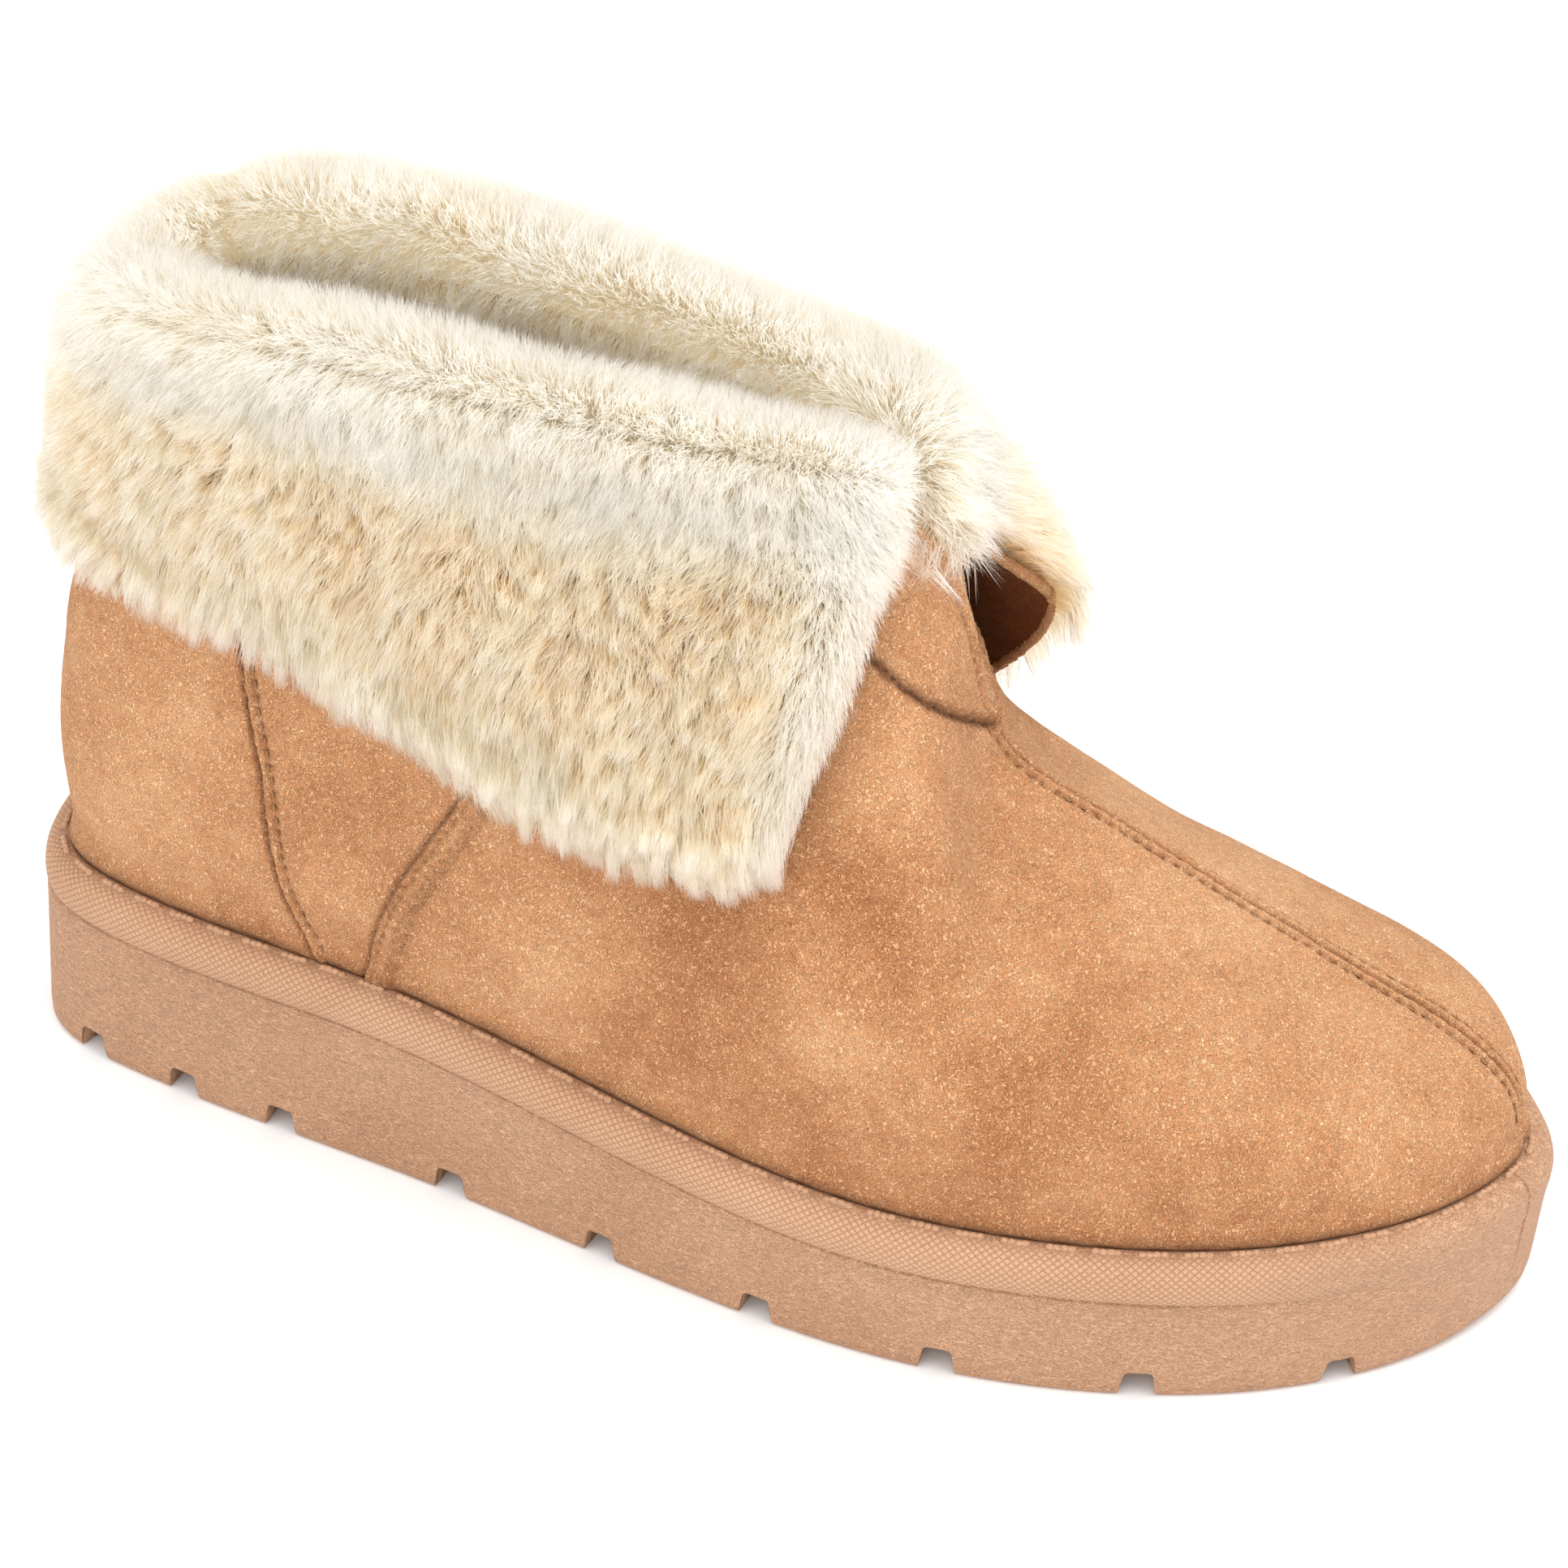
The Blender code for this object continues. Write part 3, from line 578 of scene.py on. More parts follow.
def pileMaterial():
    # strands let light through, so most of each is translucent
    made, tree, shader = newMaterial("creamPile", roughness=0.9, specular=0.12)
    place = scaledPlace(tree, (1, 1, 1))
    broad = noiseNode(tree, place, 52, 3, 0.6, 0.4)
    small = noiseNode(tree, place, 230, 2, 0.5, 0.3)
    level = sumNodes(tree, attributeNode(tree, "tip"), mapRange(tree, broad, 0.3, 0.7, -0.12, 0.12),
                     mapRange(tree, small, 0.3, 0.7, -0.07, 0.07), attributeNode(tree, "tone"))
    # painted shade: the strands go darker and more ochre towards their roots, deep in the pile
    colour = rampNode(tree, level, [(0.0, (0.955, 0.78, 0.52)), (0.30, (0.985, 0.88, 0.69)),
                                    (0.62, (0.996, 0.955, 0.86)), (1.0, (0.999, 0.988, 0.96))])
    tree.links.new(colour, shader.inputs["Base Color"])
    through = put(tree, "ShaderNodeBsdfTranslucent", {"Color": colour}).outputs[0]
    mixed = put(tree, "ShaderNodeMixShader", {0: 0.94, 1: shader.outputs[0], 2: through}).outputs[0]
    tree.links.new(mixed, tree.nodes["Material Output"].inputs["Surface"])
    return made


soleLook = {
    "mid": (0.525, 0.290, 0.165),
    "dark": (0.37, 0.180, 0.090),
    "pale": (0.635, 0.385, 0.245),
    "hatchPitch": 1.5 * mm,
    "hatchLean": 1.15,
    "studHalf": 0.0022,
    "clear": 5.0,             # keeps the hatching's phase above zero
}


def soleMaterial():
    made, tree, shader = newMaterial("mouldedSole", roughness=0.62, specular=0.32)
    place = scaledPlace(tree, (1, 1, 1))
    stretched = scaledPlace(tree, (0.46, 0.46, 1.0))
    crackle = noiseNode(tree, stretched, 2100, 3, 0.6, 1.4)
    scored = mathNode(tree, "ABSOLUTE", mathNode(tree, "SUBTRACT", crackle, 0.5))
    scored = mapRange(tree, scored, 0.0, 0.045, 1.0, 0.0)
    grain = noiseNode(tree, place, 2600, 2, 0.5)
    broad = noiseNode(tree, place, 26, 3, 0.55, 0.4)
    sweep = put(tree, "ShaderNodeSeparateXYZ", {0: attributeNode(tree, "sweep", "Vector")})
    run, rise, hatched = sweep.outputs[0], sweep.outputs[1], sweep.outputs[2]
    lines = []
    for lean in (1, -1):
        slope = mathNode(tree, "MULTIPLY", rise, lean * soleLook["hatchLean"])
        across = sumNodes(tree, run, slope, soleLook["clear"])
        wave = mathNode(tree, "PINGPONG", across, soleLook["hatchPitch"] / 2)
        lines.append(mapRange(tree, wave, 0.0, 0.00022, 1.0, 0.0))
    hatch = mathNode(tree, "MULTIPLY", mathNode(tree, "MAXIMUM", *lines), hatched)
    # small diamonds on the tread's underside
    spot = put(tree, "ShaderNodeSeparateXYZ", {0: place}).outputs
    waves = [mathNode(tree, "PINGPONG", sumNodes(tree, spot[0], mathNode(tree, "MULTIPLY", spot[1], lean)),
                      soleLook["studHalf"]) for lean in (1.0, -1.0)]
    studs = mapRange(tree, mathNode(tree, "MINIMUM", *waves), 0.0, 0.0010)
    under = mapRange(tree, rise, 0.0, 0.0008, 1.0, 0.0)
    level = sumNodes(tree, mapRange(tree, broad, 0.3, 0.7, 0.36, 0.64),
                     mapRange(tree, crackle, 0.35, 0.65, 0.13, -0.13))
    colour = rampNode(tree, level, [(0.0, soleLook["dark"]), (0.5, soleLook["mid"]), (1.0, soleLook["pale"])])
    colour = mixColour(tree, mathNode(tree, "MULTIPLY", hatched, 0.10), colour, soleLook["pale"])
    colour = mixColour(tree, mathNode(tree, "MULTIPLY", hatch, 0.09), colour,
                       [c * 0.7 for c in soleLook["dark"]])
    plain = mathNode(tree, "SUBTRACT", 1.0, hatched)
    scores = mathNode(tree, "MULTIPLY", scored, plain)
    colour = mixColour(tree, mathNode(tree, "MULTIPLY", scores, 0.24), colour, soleLook["dark"])
    tree.links.new(colour, shader.inputs["Base Color"])
    bump = bumpNode(tree, mathNode(tree, "MULTIPLY", scores, -1.0), 0.7, 0.0003)
    bump = bumpNode(tree, mathNode(tree, "MULTIPLY", hatch, -1.0), 0.8, 0.00025, bump)
    bump = bumpNode(tree, grain, 0.30, 0.0003, bump)
    bump = bumpNode(tree, mathNode(tree, "MULTIPLY", studs, under), 0.8, 0.0006, bump)
    tree.links.new(bump, shader.inputs["Normal"])
    return made


def threadMaterial(name, colour):
    made, tree, shader = newMaterial(name, roughness=0.8, specular=0.25)
    place = scaledPlace(tree, (1, 1, 1))
    twist = noiseNode(tree, place, 2600, 2, 0.5)
    tree.links.new(rampNode(tree, twist, [(0.3, [c * 0.6 for c in colour]), (0.7, colour)]),
                   shader.inputs["Base Color"])
    tree.links.new(bumpNode(tree, twist, 0.5, 0.0002), shader.inputs["Normal"])
    return made


finish = {
    "suede": suedeMaterial("tanSuede", suedeLook["mid"], suedeLook["dark"], suedeLook["light"]),
    "edge": suedeMaterial("rawEdgeSuede", (0.50, 0.235, 0.10), (0.24, 0.09, 0.03), (0.80, 0.50, 0.28)),
    # painted shade: the flap's back is the same suede, coloured dark chocolate for the deep shade it lies in
    "back": suedeMaterial("shadePaintedSuede", (0.135, 0.040, 0.009), (0.075, 0.020, 0.004), (0.21, 0.075, 0.022), 0.0),
    "lining": liningMaterial(),
    "pile": pileMaterial(),
    "sole": soleMaterial(),
    "bead": threadMaterial("lipBead", (0.62, 0.36, 0.215)),
    "thread": threadMaterial("tanThread", (0.42, 0.20, 0.085)),
}
print("materials ready")


# ---- rows of small shapes along a path, by Geometry Nodes
def pathObject(name, points, ups):
    mesh = bpy.data.meshes.new(name)
    edges = [(i, i + 1) for i in range(len(points) - 1)]
    mesh.from_pydata(np.asarray(points).tolist(), edges, [])
    setAttribute(mesh, "up", ups, "FLOAT_VECTOR")
    return newObject(name, mesh)


def settingsFor(labels, settings):
    # a tree's inputs out of a settings dictionary: "Tuft Size" is its tuftSize
    return {label: settings[label[0].lower() + label[1:].replace(" ", "")] for label in labels}


rowInputs = ("Pitch", "Length", "Width", "Height", "Wander")


def rowTree(name):
    # one rounded bead at every pitch along a path, laid flat on the surface under it
    tree = bpy.data.node_groups.new(name, "GeometryNodeTree")
    face = tree.interface
    face.new_socket("Path", in_out="INPUT", socket_type="NodeSocketGeometry")
    for label in rowInputs:
        face.new_socket(label, in_out="INPUT", socket_type="NodeSocketFloat")
    face.new_socket("Seed", in_out="INPUT", socket_type="NodeSocketInt")
    face.new_socket("Finish", in_out="INPUT", socket_type="NodeSocketMaterial")
    face.new_socket("Row", in_out="OUTPUT", socket_type="NodeSocketGeometry")
    given = put(tree, "NodeGroupInput").outputs
    curve = put(tree, "GeometryNodeMeshToCurve", {0: given["Path"]}).outputs[0]
    curve = put(tree, "GeometryNodeResampleCurve", {"Curve": curve, "Length": given["Pitch"]},
                mode="LENGTH").outputs[0]
    along = put(tree, "GeometryNodeInputTangent").outputs[0]
    up = put(tree, "GeometryNodeInputNamedAttribute", {"Name": "up"}, data_type="FLOAT_VECTOR").outputs[0]
    turn = put(tree, "FunctionNodeAxesToRotation", {0: up, 1: along},
               primary_axis="Z", secondary_axis="X").outputs[0]
    bead = put(tree, "GeometryNodeMeshUVSphere", {"Segments": 8, "Rings": 6, "Radius": 0.5}).outputs[0]
    sway = put(tree, "FunctionNodeRandomValue", {2: 0.85, 3: 1.12, "Seed": given["Seed"]},
               data_type="FLOAT").outputs[1]
    length = mathNode(tree, "MULTIPLY", given["Length"], sway)
    size = put(tree, "ShaderNodeCombineXYZ", {0: length, 1: given["Width"], 2: given["Height"]}).outputs[0]
    low, high = (put(tree, "ShaderNodeVectorMath", {0: (way,) * 3, "Scale": given["Wander"]},
                     operation="SCALE").outputs[0] for way in (-1, 1))
    drift = put(tree, "FunctionNodeRandomValue", {0: low, 1: high, "Seed": given["Seed"]},
                data_type="FLOAT_VECTOR").outputs[0]
    turned = put(tree, "GeometryNodeStoreNamedAttribute", {"Geometry": curve, "Name": "turn", "Value": turn},
                 data_type="QUATERNION").outputs[0]
    placed = put(tree, "GeometryNodeCurveToPoints", {"Curve": turned}, mode="EVALUATED").outputs[0]
    placed = put(tree, "GeometryNodeSetPosition", {"Geometry": placed, "Offset": drift}).outputs[0]
    turn = put(tree, "GeometryNodeInputNamedAttribute", {"Name": "turn"}, data_type="QUATERNION").outputs[0]
    beads = put(tree, "GeometryNodeInstanceOnPoints", {"Points": placed, "Instance": bead, "Rotation": turn,
                "Scale": size}).outputs[0]
    solid = put(tree, "GeometryNodeRealizeInstances", {0: beads}).outputs[0]
    solid = put(tree, "GeometryNodeSetShadeSmooth", {0: solid}).outputs[0]
    solid = put(tree, "GeometryNodeSetMaterial", {"Geometry": solid, "Material": given["Finish"]}).outputs[0]
    put(tree, "NodeGroupOutput", {0: solid})
    return tree


def evaluateNodes(made, tree, values):
    # the modifier's result as a plain mesh
    modifier = made.modifiers.new(tree.name, "NODES")
    modifier.node_group = tree
    sockets = {s.name: s.identifier for s in tree.interface.items_tree if s.in_out == "INPUT"}
    for name, value in values.items():
        modifier[sockets[name]] = value
    graph = bpy.context.evaluated_depsgraph_get()
    mesh = bpy.data.meshes.new_from_object(made.evaluated_get(graph))
    made.modifiers.remove(modifier)
    return mesh


def joinMeshes(name, meshes):
    bm = bmesh.new()
    for mesh in meshes:
        bm.from_mesh(mesh)
    joined = bpy.data.meshes.new(name)
    bm.to_mesh(joined)
    bm.free()
    joined.shade_smooth()
    return joined


beadRow = rowTree("beadRow")


def makeRows(name, rows, finishMaterial, firstSeed=11):
    # one bead row for each path, its upward directions and its settings
    meshes = []
    for number, (points, ups, sizes) in enumerate(rows):
        guide = pathObject("guide", points, ups)
        values = {**settingsFor(rowInputs, sizes), "Seed": firstSeed + number, "Finish": finishMaterial}
        meshes.append(evaluateNodes(guide, beadRow, values))
        bpy.data.objects.remove(guide)
    joined = joinMeshes(name, meshes)
    for spare in [a.name for a in joined.attributes if a.name in ("up", "turn")]:
        joined.attributes.remove(joined.attributes[spare])
    return newObject(name, joined, finishMaterial)


# ---- moulded sole: tread, wall, undercut, rolled lip and the dish inside it
sole = {
    "stations": 230,
    "heelFlare": 0.030,
    "wallRings": 9,
    "toeFadeFrom": 0.070,
    "toeFadeTo": 0.118,
    "hatchRings": (-17, -7),          # first and last hatched ring, counted from the profile's end
    "hatchFades": (0.088, 0.126),     # where the hatching weakens towards the toe
    "grooveDepth": 5.6,
    "grooveTop": 4.2,
    "grooveMouth": 6.6,
    "grooveHandle": 0.33,
    "grooveRunsPast": 0.005,
    "sharpFrom": 42,
}
# out from the outline at the sides, at the back of the heel and at the toe; base; rise
soleProfile = [
    (-2.2, -0.8, -2.6, "floor", 0.0), (-1.2, 0.1, -1.5, "floor", 0.02),
    (-0.5, 0.9, -0.7, "floor", 0.4), (-0.1, 1.4, -0.2, "floor", 1.2),
    (0.0, 1.5, 0.1, "floor", 3.0), (0.0, 1.4, 0.3, "floor", 5.5),
    "wall",
    (0.0, 0.6, 0.9, "feather", -9.6), (-0.05, 0.45, 0.95, "feather", -8.9),
    (-0.45, 0.0, 0.95, "feather", -8.55), (-0.50, -0.1, 0.98, "feather", -8.25),
    (0.25, 0.2, 1.05, "feather", -8.0), (0.85, 0.5, 1.15, "feather", -7.4),
    (1.25, 0.65, 1.25, "feather", -6.5), (1.45, 0.7, 1.35, "feather", -5.5),
    (1.5, 0.7, 1.4, "feather", -4.4), (1.35, 0.55, 1.3, "feather", -3.2),
    (1.0, 0.3, 1.0, "feather", -2.1), (0.45, -0.1, 0.5, "feather", -1.15),
    (-0.3, -0.8, -0.2, "feather", -0.4), (-1.2, -1.6, -1.1, "feather", 0.05),
    (-2.2, -2.4, -2.1, "feather", 0.25), (-3.1, -3.2, -3.1, "feather", 0.25),
    (-3.9, -3.9, -3.9, "feather", 0.10), (-4.5, -4.5, -4.5, "feather", -0.25),
    (-5.1, -5.1, -5.1, "feather", -0.9), (-5.4, -5.4, -5.4, "feather", -1.9),
    (-5.4, -5.4, -5.4, "feather", -4.2),
]
grooves = [(14.6, 14.6), (34, 34), (54, 54), (88.2, 88.2), (118.2, 118.2), (148.3, 149.5),
           (181, 184), (214.3, 219), (245.3, 249)]


def soleRing(side, alongs, row):
    plan, normal = edgePoints(side, alongs)
    heel = 1 - smoothStep(plan[:, 0], -shoe["length"] / 2, -shoe["length"] / 2 + sole["heelFlare"])
    toe = smoothStep(plan[:, 0], sole["toeFadeFrom"], sole["toeFadeTo"])
    out = row[0] + (row[1] - row[0]) * heel + (row[2] - row[0]) * toe
    plan = plan + normal * out[:, None] * mm
    base = treadHeight(plan[:, 0]) if row[3] == "floor" else featherHeight(plan[:, 0])
    return np.column_stack([plan, base + row[4] * mm])


def soleRings(side, alongs):
    rings = []
    for row in soleProfile:
        if row == "wall":
            low = rings[-1]
            high = soleRing(side, alongs, soleProfile[len(rings) + 1])
            for k in range(1, sole["wallRings"] + 1):
                share = k / (sole["wallRings"] + 1)
                rings.append(low + (high - low) * share)
        else:
            rings.append(soleRing(side, alongs, row))
    return np.array(rings)


def wholeRing(alongs, row):
    # one ring round both sides, from the heel's back to it again
    outer, inner = soleRing(lateral, alongs, row), soleRing(medial, alongs, row)
    return np.concatenate([outer, inner[-2:0:-1]])


def soleBody():
    alongs = np.linspace(0, 1, sole["stations"])
    outer, inner = soleRings(lateral, alongs), soleRings(medial, alongs)
    loop = np.concatenate([outer, inner[:, -2:0:-1]], 1)
    rings, count = loop.shape[:2]
    # distance run round the outline, height up the profile and how much of the lip's hatching shows
    sweep = np.zeros((rings, count, 3))
    sweep[..., 0] = np.concatenate([alongs, alongs[-2:0:-1]]) * outlineLengths[lateral][-1]
    sweep[..., 1] = lengthsAlong(loop[:, count // 4])[:, None]
    first, last = (rings + k for k in sole["hatchRings"])
    lip = np.zeros(rings)
    lip[first:last + 1] = 1
    lip[[first, last]] = 0.5
    sweep[..., 2] = lip[:, None] * (1 - 0.75 * smoothStep(loop[0, :, 0], *sole["hatchFades"]))
    mesh = gridMesh("outsole", loop, closeAcross=True)
    setAttribute(mesh, "sweep", sweep, "FLOAT_VECTOR")
    capRings(mesh, count)
    return mesh


def groovePath(groove, steps=12):
    ends = []
    for side, fromHeel in zip((lateral, medial), groove):
        place, normal = edgePoints(side, shareAt(side, fromHeel))
        ends.append((place[0], normal[0]))
    (start, startOut), (end, endOut) = ends
    handle = np.linalg.norm(end - start) * sole["grooveHandle"]
    second, third = start - startOut * handle, end - endOut * handle
    path = cubic(start, second, third, end, np.linspace(0, 1, steps + 1)[:, None])
    past = sole["grooveRunsPast"]
    return np.concatenate([[start + startOut * past], path, [end + endOut * past]])


def grooveCutter(groove):
    # flat-topped channel with rounded shoulders that flares towards the floor
    path = groovePath(groove)
    ahead = unit(np.gradient(path, axis=0))
    beside = np.stack([-ahead[:, 1], ahead[:, 0]], 1)
    depth, top, mouth = sole["grooveDepth"], sole["grooveTop"] / 2, sole["grooveMouth"] / 2
    half = [(mouth + 2.2, -3.0), (mouth + 0.55, -0.2), (mouth - 0.1, 0.45), (top + 0.45, depth - 0.9),
            (top + 0.2, depth - 0.35), (top - 0.25, depth)]
    corners = [(-a, b) for a, b in half] + [(a, b) for a, b in reversed(half)]
    rows = []
    for place, across in zip(path, beside):
        base = float(treadHeight(place[0]))
        rows.append([(*(place + across * a * mm), base + b * mm) for a, b in corners])
    mesh = gridMesh("groove", np.array(rows), closeAcross=True)
    bm = bmesh.new()
    bm.from_mesh(mesh)
    bmesh.ops.holes_fill(bm, edges=bm.edges[:], sides=0)
    saveClosed(bm, mesh)
    return newObject("groove", mesh)


def makeSole():
    body = newObject("outsole_unit", soleBody(), finish["sole"])
    cutters = [grooveCutter(groove) for groove in grooves]
    for cutter in cutters:
        cut = body.modifiers.new("groove", "BOOLEAN")
        cut.operation, cut.solver, cut.object = "DIFFERENCE", "EXACT", cutter
    graph = bpy.context.evaluated_depsgraph_get()
    mesh = bpy.data.meshes.new_from_object(body.evaluated_get(graph))
    body.modifiers.clear()
    body.data = mesh
    for cutter in cutters:
        bpy.data.objects.remove(cutter)
    mesh.shade_smooth()
    mesh.set_sharp_from_angle(angle=math.radians(sole["sharpFrom"]))
    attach(body, "root")
    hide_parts("outsole")


# ---- knobbed stitch dashes on the lip
lipBeads = {
    "out": -2.8,
    "rise": 0.30,
    "stations": 320,
    "spacing": 0.001,
    "dash": 5.0 * mm,
    "knobs": (0.0, 0.24, 0.48, 0.72),      # where the knobs of a dash sit, in shares of it
    "pitch": 7.6 * mm,
    "length": 5.0 * mm * 0.34,
    "width": 1.3 * mm,
    "height": 1.15 * mm,
    "wander": 0.0001,
}


def makeLipBeads():
    path = wholeRing(np.linspace(0, 1, lipBeads["stations"]),
                     (lipBeads["out"],) * 3 + ("feather", lipBeads["rise"]))
    path = np.concatenate([path, path[:1]])
    lengths = lengthsAlong(path)
    rows = []
    for share in lipBeads["knobs"]:
        at = (np.arange(0, lengths[-1], lipBeads["spacing"]) + share * lipBeads["dash"]) % lengths[-1]
        moved = pointsAlong(path, lengths, at)
        rows.append((moved, np.tile((0.0, 0.0, 1.0), (len(moved), 1)), lipBeads))
    beads = makeRows("lip_stitch_beads", rows, finish["bead"])
    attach(beads, "root")


# ---- mould line
mouldLine = {
    "along": 0.972,
    "rings": slice(5, 34),             # from the tread's edge up the wall and over the lip
    "step": 0.0005,
    "lean": 0.0004,
    "leanHeights": (0.004, 0.020),
    "leanShares": (-1.0, 0.2),
    "radius": 0.00022,
    "sides": 8,
}


def makeMouldLine():
    # the fine parting ridge over the lip and down the wall beside the toe
    rings = soleRings(lateral, [mouldLine["along"]])[:, 0]
    path = smoothPath(rings[mouldLine["rings"]], mouldLine["step"])
    path[:, 0] += mouldLine["lean"] * np.interp(path[:, 2], mouldLine["leanHeights"], mouldLine["leanShares"])
    tube = roundTube("mouldLine", path, mouldLine["radius"], mouldLine["sides"])
    line = newObject("mould_line", tube, finish["sole"])
    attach(line, "root")


makeSole()
makeLipBeads()
makeMouldLine()
print("sole made")


# ---- footbed
footbed = {
    "inset": 12.0,
    "clearance": 0.3,
    "stations": 150,
    "rings": [(-1.2, 0.0), (-0.2, 1.6), (-0.3, 3.4), (-0.9, 4.7), (-2.2, 5.6), (-5.0, 6.0), (-10.0, 6.0)],
}


def makeFootbed():
    alongs = np.linspace(0, 1, footbed["stations"])
    bed = footbed["clearance"] - shoe["dishDepth"] / mm
    rings = []
    for out, rise in footbed["rings"]:
        rings.append(wholeRing(alongs, (out - footbed["inset"],) * 3 + ("feather", bed + rise)))
    mesh = gridMesh("footbed", np.array(rings), closeAcross=True)
    capRings(mesh, len(rings[0]), weld=0.00005)
    bed = newObject("footbed_pad", mesh, finish["lining"])
    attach(bed, "root")
    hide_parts("insole")


makeFootbed()
print("footbed made")


# ---- upper: one lined shell, refined where seams are pressed and folded into it
upper = {
    "slitStations": 150,
    "toeStations": 84,
    "heights": 78,
    "innerHeights": 16,
    "refineReach": (5.0 * mm, 2.9 * mm),
    "footBulge": 1.6,
    "seamReach": 0.016,           # how far from its line a seam may press the suede
    "centreFrom": 0.06,           # how far before the slit's foot the centre seam is looked for
    "wobbleScale": 900,           # seams never run dead straight
    "wobble": 0.32,
    "grainScale": 1700,           # and the nap breaks them up
    "grainRelief": 0.30,
    "grainDark": (0.82, 0.55),
    "seamEnds": (0.0006, 0.0022),
    "centreStart": 0.003,
    "centreStop": 0.004,
    "drift": ((38, (0, 0, 0), 0.42), (95, (5, 1, 2), 0.16)),      # noise scale, shift and height
    "driftFrom": 0.12,
    "toeThins": (0.975, 1.0, 0.8),
    # painted shadow line low on the suede, where it meets the lip
    "footShadowLine": (0.0002, 0.0042, 0.50),      # the dark line where the suede meets the lip
    # painted shade: a softer dark band low on the suede above the lip
    "footShade": (0.001, 0.010, 0.22),
    # painted shade in the creases' troughs and painted light on their ridges
    "foldShade": 0.16,
    "sharpFrom": 60,
}
stitch = {
    "pitch": 2.6 * mm,
    "length": 1.6 * mm,
    "width": 0.42 * mm,
    "height": 0.30 * mm,
    "wander": 0.00016,
    "sunk": 0.00008,
    "centreEnds": slice(8, -10),      # the centre seam's stitches stop short of both its ends
}
# distances of the stitch rows from their seams, in millimetres
stitchRows = {"counter": (2.25,), "strip": (1.35, 3.55), "arc": (3.6,), "slit": (2.3,), "centre": (-1.95, 1.95)}


def skinPoints(p, t):
    # outer face by signed share (outer side negative) and height; under 0 it goes down into the dish
    p, t = np.asarray(p, float), np.asarray(t, float)
    found = np.zeros((len(p), 3))
    for side, mask in ((lateral, p < 0), (medial, p >= 0)):
        if mask.any():
            found[mask] = upperPoints(side, np.clip(np.abs(p[mask]), 0, 1), np.clip(t[mask], 0, 1))
    found[:, 2] += np.minimum(t, 0) * (shoe["dishDepth"] - 0.0003)
    return found


def skinNormals(p, t, step=0.0015):
    # away from both ends of a side, where the outline's normals turn over
    p, t = np.asarray(p, float), np.asarray(t, float)
    edge = 0.985
    high = np.clip(np.maximum(t, 0) + step, 0, 1)
    low = np.clip(np.maximum(t, 0) - step, 0, 1)
    middle = (np.clip(p + step, -edge, edge) + np.clip(p - step, -edge, edge)) / 2
    middle = np.clip(middle, -edge + step, edge - step)
    t0 = np.clip(t, 0.0, 0.9985)
    across = skinPoints(middle + step, t0) - skinPoints(middle - step, t0)
    rise = skinPoints(p, high) - skinPoints(p, low)
    return unit(np.cross(rise, across))


def onSkin(points, tree):
    # moves points onto the outer face, and gives its normals there
    placed, normals = [], []
    for point in points:
        spot, normal, _, _ = tree.find_nearest(Vector(point))
        placed.append(spot)
        normals.append(normal)
    return np.array(placed), unit(np.array(normals))


def fromHeel(points):
    return np.array(points, float) * mm - np.array([shoe["length"] / 2, 0, 0])


def throughSkin(points, side, tree):
    # side seams are given as distance from the heel and height, and met from that side
    placed = []
    for x, z in points:
        start = Vector((x * mm - shoe["length"] / 2, side * 0.2, z * mm))
        placed.append(tree.ray_cast(start, Vector((0, -side, 0)))[0])
    return np.array(placed)


counterLine = [(44, 118), (46.4, 98.5), (48.4, 88), (50.9, 76), (52.4, 62), (55.4, 49), (57.6, 44),
               (60.8, 39.4)]
stripLine = [(98, 108), (90.4, 86.7), (83.7, 74), (76.5, 60), (72.9, 50), (71.2, 42.6), (70.6, 38.6)]
arcLine = [(169.5, -0.6, 97.2), (167.1, -11.6, 105.4), (163.4, -18.6, 112), (157.5, -20.2, 116.7),
           (151.3, -19.5, 120.9), (142, -19, 127.5), (130, -21, 136)]


def seamGuides(tree):
    guides = []
    for side in (lateral, medial):
        for kind, line in (("counter", counterLine), ("strip", stripLine)):
            guides.append((kind, side, smoothPath(throughSkin(line, side, tree))))
        arc = fromHeel(arcLine) * (1, -side, 1) + (0, (1 + side) * 0.001, 0)
        guides.append(("arc", side, smoothPath(onSkin(smoothPath(arc, 0.002), tree)[0])))
        alongs = np.linspace(0.50, shoe["slitFoot"], 60)
        guides.append(("slit", side, smoothPath(skinPoints(side * alongs - 1e-9, np.ones(60)))))
    alongs = np.linspace(shoe["slitFoot"], 0.995, 120)
    guides.append(("centre", medial, smoothPath(skinPoints(alongs, np.ones(120)))))
    return guides


